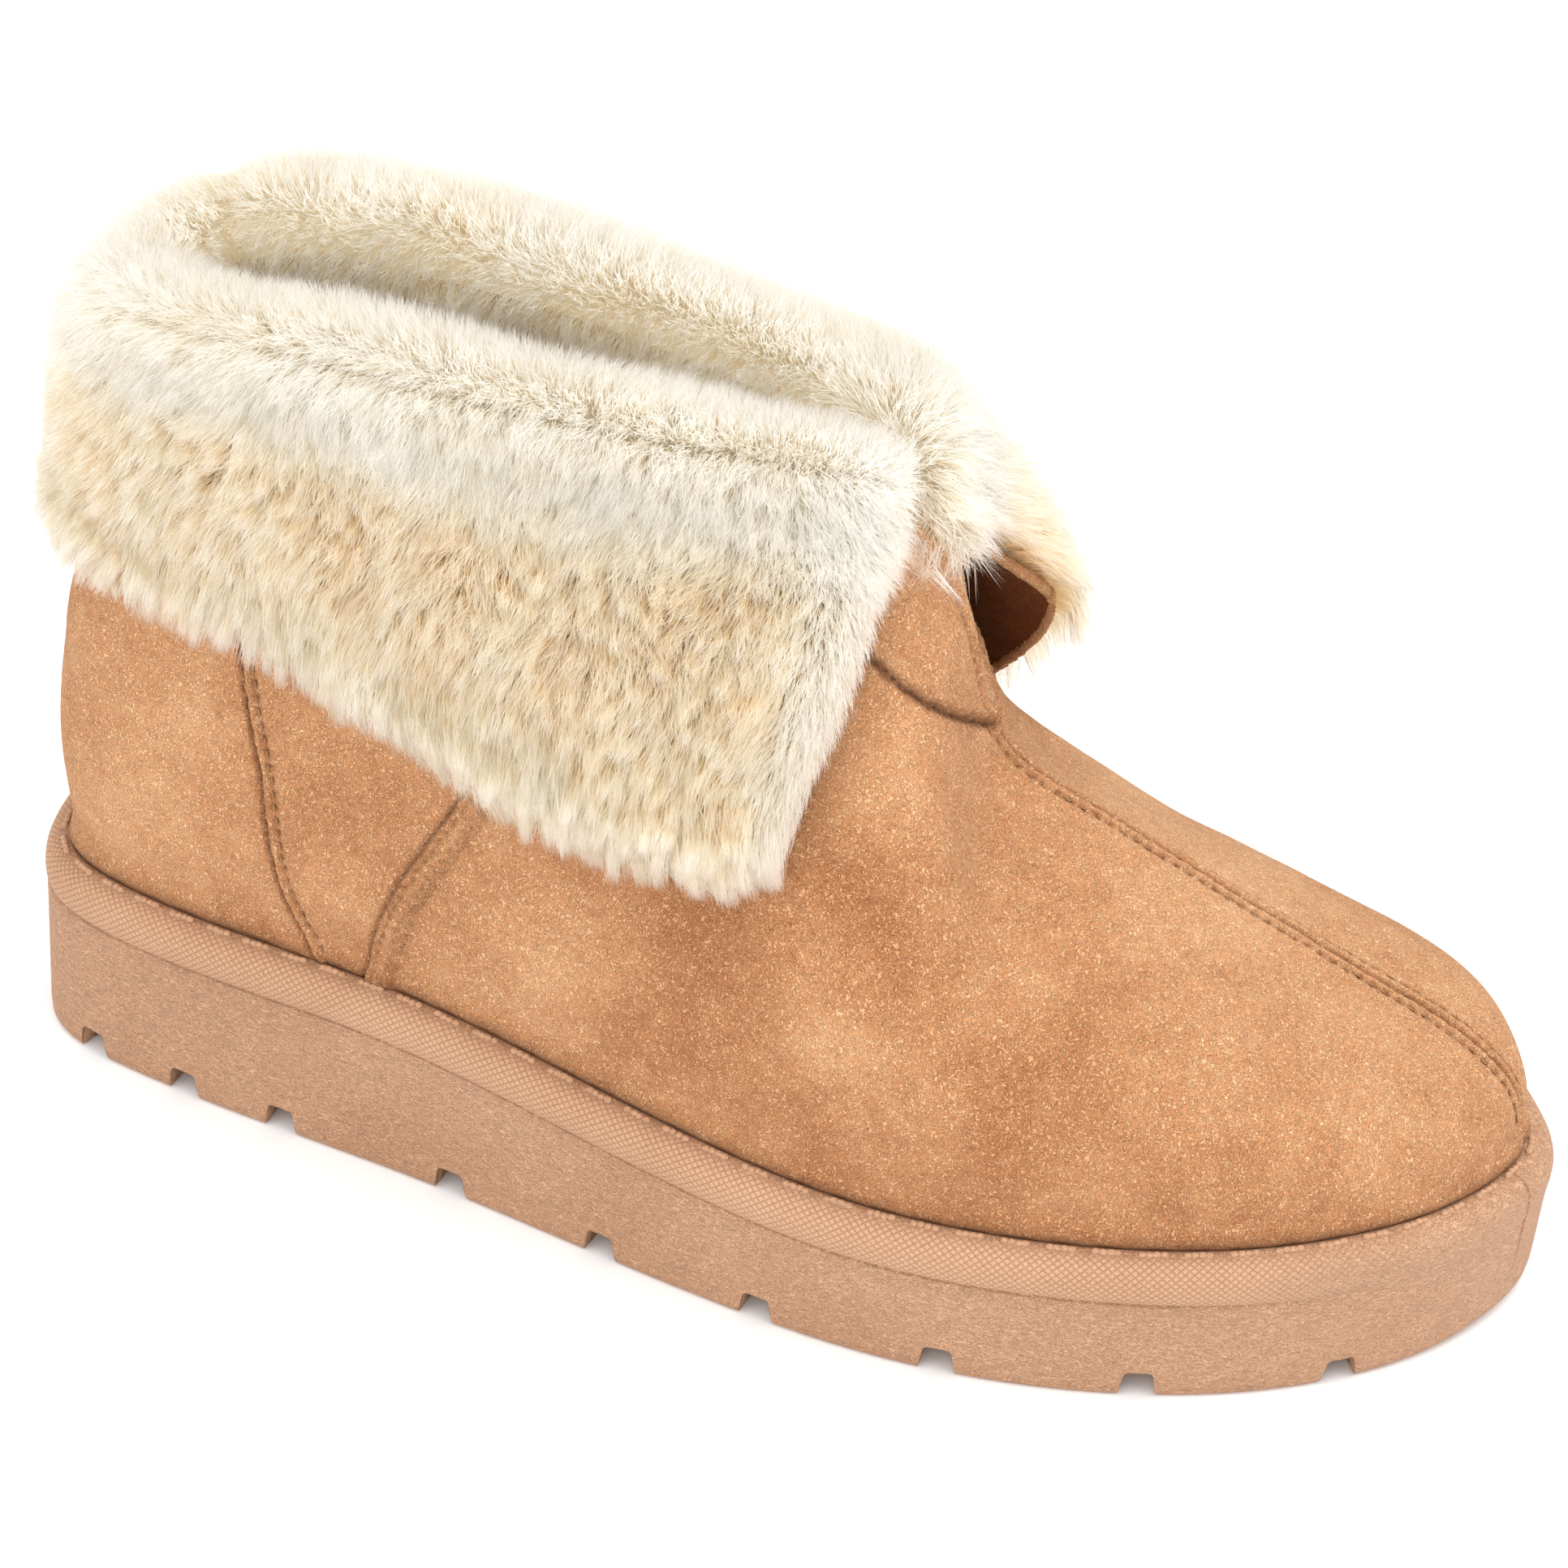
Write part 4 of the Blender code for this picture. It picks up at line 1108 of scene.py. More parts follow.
def seamRelief(kind, d, run):
    # height of a seam and the painted shade in its groove and stitch holes (a little paler on the slit's raised
    # hem), by distance across it and along it, in millimetres
    pits = 0.5 + 0.5 * np.cos(run * 2 * math.pi / (stitch["pitch"] / mm))
    row = stitchRows[kind][-1]
    if kind == "counter":
        height = -0.75 * gauss(d, 0, 0.50) + 0.55 * gauss(d, 1.15, 0.65)
        height -= 0.55 * gauss(d, row, 0.45) * (0.35 + 0.65 * pits)
        height += 0.30 * smoothStep(-d, -0.1, 0.3) * (1 - smoothStep(-d, 1.5, 9.0))
        dark = 0.85 * gauss(d, 0, 0.46) + 0.80 * gauss(d, row, 0.42) * (0.25 + 0.75 * pits)
    elif kind == "strip":
        first = stitchRows[kind][0]
        height = 1.10 * smoothStep(d, -0.20, 0.40) * (1 - smoothStep(d, 4.3, 5.1))
        height += 0.12 * gauss(d, 0.45, 0.4) - 0.4 * gauss(d, -0.4, 0.4)
        for place in (first, row):
            height -= 0.50 * gauss(d, place, 0.38) * (0.3 + 0.7 * pits)
        height -= 0.25 * gauss(d, 5.1, 0.4)
        dark = 0.80 * gauss(d, -0.3, 0.46) + 0.65 * gauss(d, first, 0.36) * (0.3 + 0.7 * pits)
        dark += 0.70 * gauss(d, row, 0.36) * (0.3 + 0.7 * pits) + 0.3 * gauss(d, 5.1, 0.4)
    elif kind == "arc":
        height = -1.25 * gauss(d, 0, 0.68) + 0.85 * gauss(d, 1.7, 0.85)
        height += 0.22 * smoothStep(d, 0.4, 1.2) * (1 - smoothStep(d, 6, 14))
        height -= 0.28 * gauss(d, row, 0.4) * (0.4 + 0.6 * pits)
        dark = 1.0 * gauss(d, 0, 0.80) + 0.20 * gauss(d, row, 0.35) * pits
    elif kind == "slit":
        height = 0.60 * gauss(d, 0.9, 0.8) - 0.50 * gauss(d, row, 0.45) * (0.45 + 0.55 * pits)
        dark = 0.50 * gauss(d, row, 0.40) * (0.4 + 0.6 * pits) - 0.2 * gauss(d, 0.6, 0.8)
    else:
        d = np.abs(d)
        height = -0.85 * gauss(d, 0, 0.46) + 0.42 * gauss(d, 1.0, 0.70)
        height -= 0.45 * gauss(d, row, 0.42) * (0.3 + 0.7 * pits)
        dark = 0.70 * gauss(d, 0, 0.46) + 0.95 * gauss(d, row, 0.42) * (0.25 + 0.75 * pits)
    return height, dark


def guideFrames(kind, side, path, tree):
    # along a seam, and across it: to the toe, up to the collar, or into the panel
    ahead = unit(np.gradient(path, axis=0))
    normals = unit(onSkin(path, tree)[1])
    sign = {"counter": side, "strip": side, "arc": -side, "slit": side, "centre": 1}[kind]
    return ahead, unit(np.cross(ahead, normals)) * sign


def upperShell():
    # both walls and the rims, as one closed net of quads that remembers its share and height
    alongs = np.concatenate([np.linspace(0, shoe["slitFoot"], upper["slitStations"]),
                             np.linspace(shoe["slitFoot"], 1, upper["toeStations"])[1:]])
    heights = np.concatenate([[-1, -0.5], np.linspace(0, 1, upper["heights"])])
    innerHeights = np.concatenate([[-1], np.linspace(0, 1, upper["innerHeights"])])
    bm = bmesh.new()
    pLayer = bm.verts.layers.float.new("p")
    tLayer = bm.verts.layers.float.new("t")
    wallLayer = bm.verts.layers.float.new("inside")

    def column(p, levels, inside):
        made = []
        for t in levels:
            vertex = bm.verts.new((0, 0, 0))
            vertex[pLayer], vertex[tLayer], vertex[wallLayer] = p, t, inside
            made.append(vertex)
        return made

    outer, inner = {}, {}
    for side in (lateral, medial):
        for number, along in enumerate(alongs):
            key = (side, number)
            if number == 0 and side == medial:
                outer[key], inner[key] = outer[(lateral, 0)], inner[(lateral, 0)]
                continue
            outer[key] = column(side * along, heights, 0.0)
            inner[key] = column(side * along, innerHeights, 1.0)
    outerFaces = []
    seamFrom = upper["slitStations"] - 1
    for side in (lateral, medial):
        for i in range(len(alongs) - 1):
            for net, keep in ((outer, True), (inner, False)):
                low, high = net[(side, i)], net[(side, i + 1)]
                for k in range(len(low) - 1):
                    corners = [low[k], low[k + 1], high[k + 1], high[k]]
                    if (side == lateral) == keep:
                        corners.reverse()
                    face = bm.faces.new(corners)
                    face.material_index = 0 if keep else 1
                    if keep:
                        outerFaces.append(face)
            a, b = (side, i), (side, i + 1)
            rims = [[outer[a][0], outer[b][0], inner[b][0], inner[a][0]]]
            if i < seamFrom:
                rims.append([inner[a][-1], inner[b][-1], outer[b][-1], outer[a][-1]])
            for corners in rims:
                if side == medial:
                    corners.reverse()
                face = bm.faces.new(corners)
                face.material_index = 1
    return bm, outerFaces


def placeVertices(bm):
    # share, height, wall and place of every vertex, with the outer face's normal there
    layers = bm.verts.layers.float
    p, t, inside = (np.array([v[layers[name]] for v in bm.verts]) for name in ("p", "t", "inside"))
    normals = skinNormals(p, t)
    seam = (np.abs(p) >= shoe["slitFoot"] - 1e-6) & (t > 0.9995)
    normals[seam] = unit(normals[seam] + skinNormals(-p[seam], t[seam]))
    return p, t, inside, skinPoints(p, t), normals


# soft troughs and ridges of the suede: points along each, its half width and its height in millimetres
creases = [
    ([(149, -36, 92), (159, -39, 84), (170, -41, 75)], 5.0, -1.3),
    ([(163, -28, 99), (173, -32, 91), (184, -35, 82)], 6.0, 1.1),
    ([(181, -17, 93), (192, -25, 83), (203, -33, 71)], 6.5, -0.8),
    ([(143, -43, 74), (157, -46, 66), (172, -47, 60)], 7.0, 0.9),
    ([(176, -44, 66), (190, -43, 61), (206, -40, 57)], 6.0, -0.6),
    ([(5, -10, 82), (18, -23, 77), (34, -29, 75)], 5.0, -0.6),
    ([(5, -10, 92), (16, -21, 88), (30, -27, 86)], 5.0, 0.5),
    ([(58, -32, 84), (70, -35, 70), (86, -38, 58)], 5.5, -0.5),
    ([(150, 32, 90), (163, 36, 80), (177, 40, 68)], 5.5, -1.0),
    ([(92, 32, 84), (108, 32, 72), (122, 33, 62)], 6.0, -0.6),
    ([(5, 10, 82), (18, 24, 77), (34, 31, 75)], 5.0, -0.6),
    ([(186, 14, 88), (198, 24, 77), (208, 33, 66)], 6.5, -0.6),
]


def creaseRelief(points):
    total = np.zeros(len(points))
    for line, width, height in creases:
        path = smoothPath(fromHeel(line), 0.001)
        low, high = path.min(0) - 3 * width * mm, path.max(0) + 3 * width * mm
        rows = np.nonzero((points > low).all(1) & (points < high).all(1))[0]
        away = np.linalg.norm(points[rows, None] - path[None], axis=2)
        nearest = away.argmin(1)
        taper = np.sin(math.pi * (nearest + 0.5) / len(path)) ** 0.8
        total[rows] += height * taper * np.exp(-(away.min(1) / mm / width) ** 2)
    return total


def refineSeams(bm, points, guides):
    # splits the outer face beside every seam, in two passes
    near = searchTree(np.concatenate([path for _, _, path in guides]))
    for reach in upper["refineReach"]:
        for vertex, spot in zip(bm.verts, points):
            vertex.co = spot
        chosen = set()
        for face in bm.faces:
            if face.material_index == 0 and len(face.verts) == 4:
                if near.find(face.calc_center_median())[2] < reach:
                    chosen.update(face.edges)
        bmesh.ops.subdivide_edges(bm, edges=list(chosen), cuts=1, use_grid_fill=True)
        points = placeVertices(bm)[3]


def seamReliefAndShade(guides, base, p, inside, points):
    # height in millimetres and painted shade that the seams give the outer face, darker in their grooves and
    # stitch holes
    relief, paintedGrooveShade = np.zeros(len(points)), np.zeros(len(points))
    for kind, side, path in guides:
        ahead, across = guideFrames(kind, side, path, base)
        runs = lengthsAlong(path)
        tree = searchTree(path)
        low, high = path.min(0) - upper["seamReach"], path.max(0) + upper["seamReach"]
        mask = (inside < 0.5) & (points > low).all(1) & (points < high).all(1)
        if kind == "centre":
            mask &= np.abs(p) > shoe["slitFoot"] - upper["centreFrom"]
        else:
            mask &= p * side >= -1e-6
        rows = np.nonzero(mask)[0]
        found = [tree.find(points[i]) for i in rows]
        index = np.array([f[1] for f in found])
        away = np.array([f[2] for f in found])
        offset = points[rows] - path[index]
        d = np.einsum("ij,ij->i", offset, across[index])
        past = np.abs(np.einsum("ij,ij->i", offset, ahead[index]))
        d = np.sign(d) * away + noiseAt(points[rows], upper["wobbleScale"]) * upper["wobble"] * mm
        height, dark = seamRelief(kind, (np.abs(d) if kind == "slit" else d) / mm, runs[index] / mm)
        grain = noiseAt(points[rows], upper["grainScale"])
        darkest, darkSways = upper["grainDark"]
        height, dark = height * (1 + upper["grainRelief"] * grain), dark * (darkest + darkSways * grain)
        fade = 1 - smoothStep(past, *upper["seamEnds"])
        if kind == "centre":
            run = runs[index]
            fade = fade * (smoothStep(run, 0.0, upper["centreStart"])
                           * (1 - smoothStep(run, runs[-1] - upper["centreStop"], runs[-1])))
        relief[rows] += height * fade
        paintedGrooveShade[rows] = np.maximum(paintedGrooveShade[rows], dark * fade)
    return relief, paintedGrooveShade


def makeUpper():
    bm, outerFaces = upperShell()
    points = placeVertices(bm)[3]
    bm.verts.index_update()
    base = BVHTree.FromPolygons([Vector(v) for v in points], [[v.index for v in f.verts] for f in outerFaces])
    guides = seamGuides(base)
    refineSeams(bm, points, guides)
    p, t, inside, points, normals = placeVertices(bm)
    relief, paintedGrooveShade = seamReliefAndShade(guides, base, p, inside, points)
    # the suede is never quite flat, bulges over the lip and creases
    outside = inside < 0.5
    drift = np.zeros(len(points))
    for scale, shift, size in upper["drift"]:
        drift[outside] += noiseAt(points[outside], scale, shift) * size
    calm = smoothStep(t, 0.0, upper["driftFrom"])
    above = (points[:, 2] - featherHeight(points[:, 0])) / mm
    relief += upper["footBulge"] * gauss(above, 1.4, 2.6) * smoothStep(above, -2.6, -1.2)
    # the creases also give painted shade in their troughs and painted light on their ridges, below
    folds = creaseRelief(points)
    relief += folds
    points = points + normals * ((relief + drift * calm) * outside * mm)[:, None]
    start, end, share = upper["toeThins"]
    thin = 1 - share * smoothStep(np.abs(p), start, end)
    points = points - normals * (inside * shoe["wall"] * thin)[:, None]
    low = points[:, 2] - featherHeight(points[:, 0])
    # painted shadow line along the suede's foot, where it meets the lip
    start, end, share = upper["footShadowLine"]
    paintedGrooveShade = np.maximum(paintedGrooveShade, share * (1 - smoothStep(low, start, end)) * outside)
    # a painted shade band low on the suede above the lip
    start, end, share = upper["footShade"]
    # tone with painted shade and painted light from the listed areas, painted shade and light along the creases
    shade = placedToneAndShade(points) + upper["foldShade"] * folds - share * (1 - smoothStep(low, start, end))
    shadeLayer = bm.verts.layers.float.new("shade")
    grooveShadeLayer = bm.verts.layers.float.new("paintedGrooveShade")
    for vertex, spot, dark, tone in zip(bm.verts, points, paintedGrooveShade, shade):
        vertex.co = spot
        vertex[grooveShadeLayer] = dark
        vertex[shadeLayer] = tone
    bmesh.ops.remove_doubles(bm, verts=bm.verts[:], dist=0.00003)
    for name in ("p", "t", "inside"):
        bm.verts.layers.float.remove(bm.verts.layers.float[name])
    mesh = bpy.data.meshes.new("upper")
    bm.to_mesh(mesh)
    bm.free()
    mesh.shade_smooth()
    mesh.set_sharp_from_angle(angle=math.radians(upper["sharpFrom"]))
    body = newObject("upper_shell", mesh, finish["suede"], finish["lining"])
    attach(body, "root")
    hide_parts("upper")
    return guides, base


# soft darker and paler areas on the suede: place, size and strength; partly the brushed suede's own tone,
# partly painted shade (under the cuff's fringe, low on the vamp's outer side) and painted light (on the inner
# vamp)
suedeToneAndShadeAreas = [
    (168, -39, 81, 15, -0.22), (197, -36, 64, 12, -0.26), (156, -48, 42, 13, -0.30), (235, -32, 39, 11, -0.24),
    (135, -40, 76, 12, -0.50), (63, -33, 73, 9, -0.20), (23, -27, 69, 14, 0.14), (218, -27, 61, 9, 0.10),
    (156, -47, 60, 9, 0.30), (105, -40, 55, 10, 0.26), (38, -29, 84, 8, 0.30), (66, -33, 58, 8, 0.30),
    (161, -28, 103, 8, 0.30), (206, -12, 72, 11, 0.28), (244, -16, 52, 10, 0.30), (120, -42, 52, 8, -0.16),
    (88, -37, 60, 8, -0.14), (185, 30, 66, 16, 0.22), (140, 38, 60, 12, -0.24), (80, 34, 64, 12, 0.20),
    (40, 33, 74, 10, -0.20), (225, 28, 46, 10, -0.20), (8, 4, 60, 9, 0.16),
    (139, -46, 52, 16, -0.46), (188, -46, 46, 15, -0.44), (218, -39, 41, 12, -0.28), (160, -34, 92, 8, -0.25),
    (214, 4, 70, 17, 0.34), (190, 10, 82, 15, 0.24), (240, 0, 56, 12, 0.12), (20, -24, 56, 12, 0.26),
    (160, -20, 108, 12, 0.20),
]


def placedToneAndShade(points):
    total = np.zeros(len(points))
    for x, y, z, size, strength in suedeToneAndShadeAreas:
        away = np.linalg.norm((points - fromHeel([(x, y, z)])[0]) / mm, axis=1)
        total += strength * suedeLook["areaShare"] * np.exp(-(away / size) ** 2)
    return total


def makeStitches(guides, base):
    rows = []
    for kind, side, path in guides:
        across = guideFrames(kind, side, path, base)[1]
        for shift in stitchRows[kind]:
            placed, normals = onSkin(path + across * shift * mm, base)
            if kind == "centre":
                placed, normals = placed[stitch["centreEnds"]], normals[stitch["centreEnds"]]
            rows.append((placed - normals * stitch["sunk"], normals, stitch))
    stitches = makeRows("upper_stitches", rows, finish["thread"])
    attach(stitches, "root")


seams, suedeFace = makeUpper()
makeStitches(seams, suedeFace)
print("upper made")


# ---- turned-down cuff: suede flap, pile base on it, and the pile itself
cuff = {
    "lateralEnd": 0.570,
    "medialEnd": 0.600,
    "stations": 230,
    "belly": 2.5,
    "gap": 0.6,
    "pileDepth": 6.6,          # the pile's own height, taken off the cuff's thickness
    "suede": 1.3,              # thickness of the flap's suede
    "edgeRadius": 1.05,        # the rolled raw edge round the flap
    "edgeRough": 0.34,
    "hemLift": 4.0,            # the pile base ends this far above the flap's edge
    "frontSoftens": 0.030,     # share of the way over which the pile turns from cut front to loose
    "insideDepth": 52.0,       # how far down inside the collar the long pile goes
    "insideRows": 22,
    "rows": 34,
    "crownRows": 13,
    "pathSteps": 160,
    "frontStations": 9,        # closer stations, over frontReach at both fronts
    "frontReach": 0.020,
    "frontThins": 0.014,       # over this share at both fronts the pile base thins
    "frontLeast": 0.16,        # to this part of itself
    "baseLeast": 0.8,          # the pile base is at least this thick on the suede
    "crownLift": 2.7,
    "crownLeast": 3.0,
    "rimIn": 0.001,
    "rimUp": 0.0007,
}
# side, along, drop, stand, lead, thick at the fold, thick at the hem, crown
cuffRows = [
    (lateral, 0.570, 60, 3.0, -12, 12.0, 8.5, 8.6), (lateral, 0.53, 64, 4.5, -6, 13.0, 9.5, 9.4),
    (lateral, 0.45, 64, 5.0, 0, 13.5, 10.0, 9.7), (lateral, 0.35, 57, 4.5, 0, 13.5, 9.5, 9.7),
    (lateral, 0.20, 45.5, 3.0, 0, 12.5, 7.0, 9.4), (lateral, 0.00, 41, 0.5, 0, 12.0, 3.5, 10.6),
    (medial, 0.20, 45.5, 3.0, 0, 12.5, 7.0, 14.0), (medial, 0.35, 56, 5.0, 0, 13.5, 9.5, 13.0),
    (medial, 0.45, 66, 6.0, 3, 14.0, 10.0, 11.6), (medial, 0.53, 75, 5.0, 10.2, 17.0, 11.0, 10.4),
    (medial, 0.553, 67.8, 3.7, 11.7, 20.0, 11.5, 10.4), (medial, 0.567, 60.3, 2.7, 12.1, 22.5, 12.5, 10.4),
    (medial, 0.578, 52, 2.1, 12.8, 23.5, 13.0, 10.2), (medial, 0.587, 42.4, 2.2, 14.4, 23.0, 13.5, 9.6),
    (medial, 0.594, 32.5, 3.0, 15.7, 21.0, 14.0, 9.0), (medial, 0.600, 24.5, 4.4, 15.6, 19.0, 14.0, 8.4),
]


def cuffShape(p):
    table = np.array(cuffRows)
    knots = table[:, 0] * table[:, 1]
    return [steady(knots, table[:, k], p) for k in range(2, 8)]


def sectionPath(share):
    # the upper's outer face from the feather line to the top at one signed share, and its heights
    heights = np.linspace(0, 1, cuff["pathSteps"])
    side = lateral if share < 0 else medial
    return side, heights, upperPoints(side, np.full(len(heights), abs(share)), heights)


def cuffFrames(p, shares):
    # the flap's inner face, its outward and upward directions and its thickness, fold (0) to hem (1)
    drop, stand, lead, thickFold, thickHem, _ = cuffShape(p)
    shares = np.broadcast_to(shares, (len(p), np.shape(shares)[-1]))
    places = np.zeros(shares.shape + (3,))
    normals, rises = np.zeros_like(places), np.zeros_like(places)
    for i, along in enumerate(p):
        side, _, points = sectionPath(along)
        outward = upperFrames(side, np.array([abs(along)]))[4][0]
        lengths = lengthsAlong(points)
        reach = lengths[-1] - drop[i] * mm * shares[i]
        rise = unit(pointsAlong(points, lengths, reach + 0.002) - pointsAlong(points, lengths, reach - 0.002))
        normal = unit(outward - rise * (rise @ outward)[:, None])
        s = np.maximum(shares[i], 0)
        forward = np.sin(np.minimum(s, 1) * math.pi / 2) if side == medial else s ** 1.7
        places[i] = (pointsAlong(points, lengths, reach)
                     + np.array([1.0, 0, 0]) * (lead[i] * mm * forward)[:, None]
                     + normal * (cuff["gap"] + stand[i] * s ** 1.5)[:, None] * mm)
        normals[i], rises[i] = normal, rise
    thick = (thickFold[:, None] + (thickHem - thickFold)[:, None] * shares
             + cuff["belly"] * np.sin(math.pi * np.clip(shares, 0, 1)))
    return places, normals, rises, thick


def frontShare(p, reach):
    # 1 along the cuff, falling smoothly to 0 at both front edges
    away = np.minimum(p + cuff["lateralEnd"], cuff["medialEnd"] - p)
    return smoothStep(away, 0, reach)


def stationShares(start, end, count):
    # evenly spaced, with more of them at both fronts
    even = np.linspace(start, end, count)
    fronts = cuff["frontReach"] * (1 - np.cos(np.linspace(0, math.pi / 2, cuff["frontStations"])))
    return np.unique(np.concatenate([start + fronts, even[6:-6], end - fronts]))


def pileBaseGrid():
    # from the collar's inside, over the crown and down to the hem
    p = stationShares(-cuff["lateralEnd"], cuff["medialEnd"], cuff["stations"])
    drop, *_, crown = cuffShape(p)
    shares = (1 - cuff["hemLift"] / drop)[:, None] * np.linspace(0, 1, cuff["rows"])
    places, normals, rises, thick = cuffFrames(p, shares)
    least = cuff["frontLeast"]
    full = least + (1 - least) * np.sqrt(frontShare(p, cuff["frontThins"]))[:, None]
    body = np.maximum(thick - cuff["pileDepth"], cuff["suede"] + cuff["baseLeast"]) * full
    outer = places + normals * body[..., None] * mm
    rimNormal, rimRise = normals[:, 0], rises[:, 0]
    inward = shoe["wall"] + cuff["gap"] * mm + cuff["rimIn"]
    inner = places[:, 0] - rimNormal * inward + rimRise * cuff["rimUp"]
    centre, half = (inner + outer[:, 0]) / 2, (outer[:, 0] - inner) / 2
    height = np.maximum(crown - cuff["pileDepth"] + cuff["crownLift"], cuff["crownLeast"]) * mm
    angles = np.linspace(0, math.pi, cuff["crownRows"])[1:-1]
    arch = np.stack([centre - half * math.cos(a) + rimRise * (height * math.sin(a))[:, None]
                     for a in angles], 1)
    return p, places, normals, outer, inner, arch


def makeCuffBody():
    _, places, normals, outer, inner, arch = pileBaseGrid()
    lining = places + normals * (cuff["suede"] * mm)
    mesh = closedSection("cuff", np.concatenate([lining[:, ::-1], inner[:, None], arch, outer], 1))
    setAttribute(mesh, "tip", np.full(len(mesh.vertices), pile["baseTip"]))
    body = newObject("cuff_pile_base", mesh, finish["pile"])
    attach(body, "root")
    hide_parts("cuff")


def makeCuffSuede():
    # the flap's own suede, seen behind the turned front and coloured dark as painted shade, and its rolled raw
    # edge
    p = np.linspace(-cuff["lateralEnd"] - 0.0005, cuff["medialEnd"], 260)
    back, out, _, _ = cuffFrames(p, np.linspace(0, 1, cuff["rows"]))
    face = back + out * cuff["suede"] * mm
    skin = closedSection("flap", np.concatenate([back, face[:, ::-1]], 1))
    flap = newObject("cuff_suede_back", skin, finish["back"])
    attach(flap, "root")
    middle = (back + face) / 2
    edge = np.concatenate([middle[0], middle[1:-1, -1], middle[-1, ::-1]])
    lengths = lengthsAlong(edge)
    edge = pointsAlong(edge, lengths, np.arange(0, lengths[-1], 0.0006))
    kernel = np.ones(7) / 7
    soft = np.stack([np.convolve(np.pad(edge[:, k], 3, mode="edge"), kernel, "valid") for k in range(3)], 1)
    tube = roundTube("edge", soft, cuff["edgeRadius"] * mm, rough=cuff["edgeRough"])
    roll = newObject("cuff_raw_edge", tube, finish["edge"])
    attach(roll, "root")


# ---- pile strands
pile = {
    "density": 9.2e6,
    "length": 8.8 * mm,
    "width": 0.100 * mm,
    "baseTip": 0.60,           # the tone of the base under the strands
    "tuftSize": 1.6 * mm,
    "tuftPull": 0.55,
    "tuftWander": 0.50,
    "lockSize": 2.8 * mm,
    "lockPull": 0.80,
    "lockWander": 0.16,
    "jitter": 0.36,
    "curl": 0.18,
}
# loose strands that fall over the slit
wisp = {"long": 1.35, "lift": 0.45, "lock": 1.25, "crumb": 0.9, "pale": 0.35, "loose": 1.0}
pileInputs = ("Density", "Length", "Width", "Tuft Size", "Tuft Pull", "Tuft Wander", "Lock Size", "Lock Pull",
              "Jitter", "Curl")


def strandMesh():
    # a flat blade: root, a pair of side points, tip; its x is the side, its z the share to the tip
    mesh = bpy.data.meshes.new("strand")
    mesh.from_pydata([(0, 0, 0), (-1, 0, 0.5), (1, 0, 0.5), (0, 0, 1)], [], [(0, 2, 1), (1, 2, 3)])
    return mesh


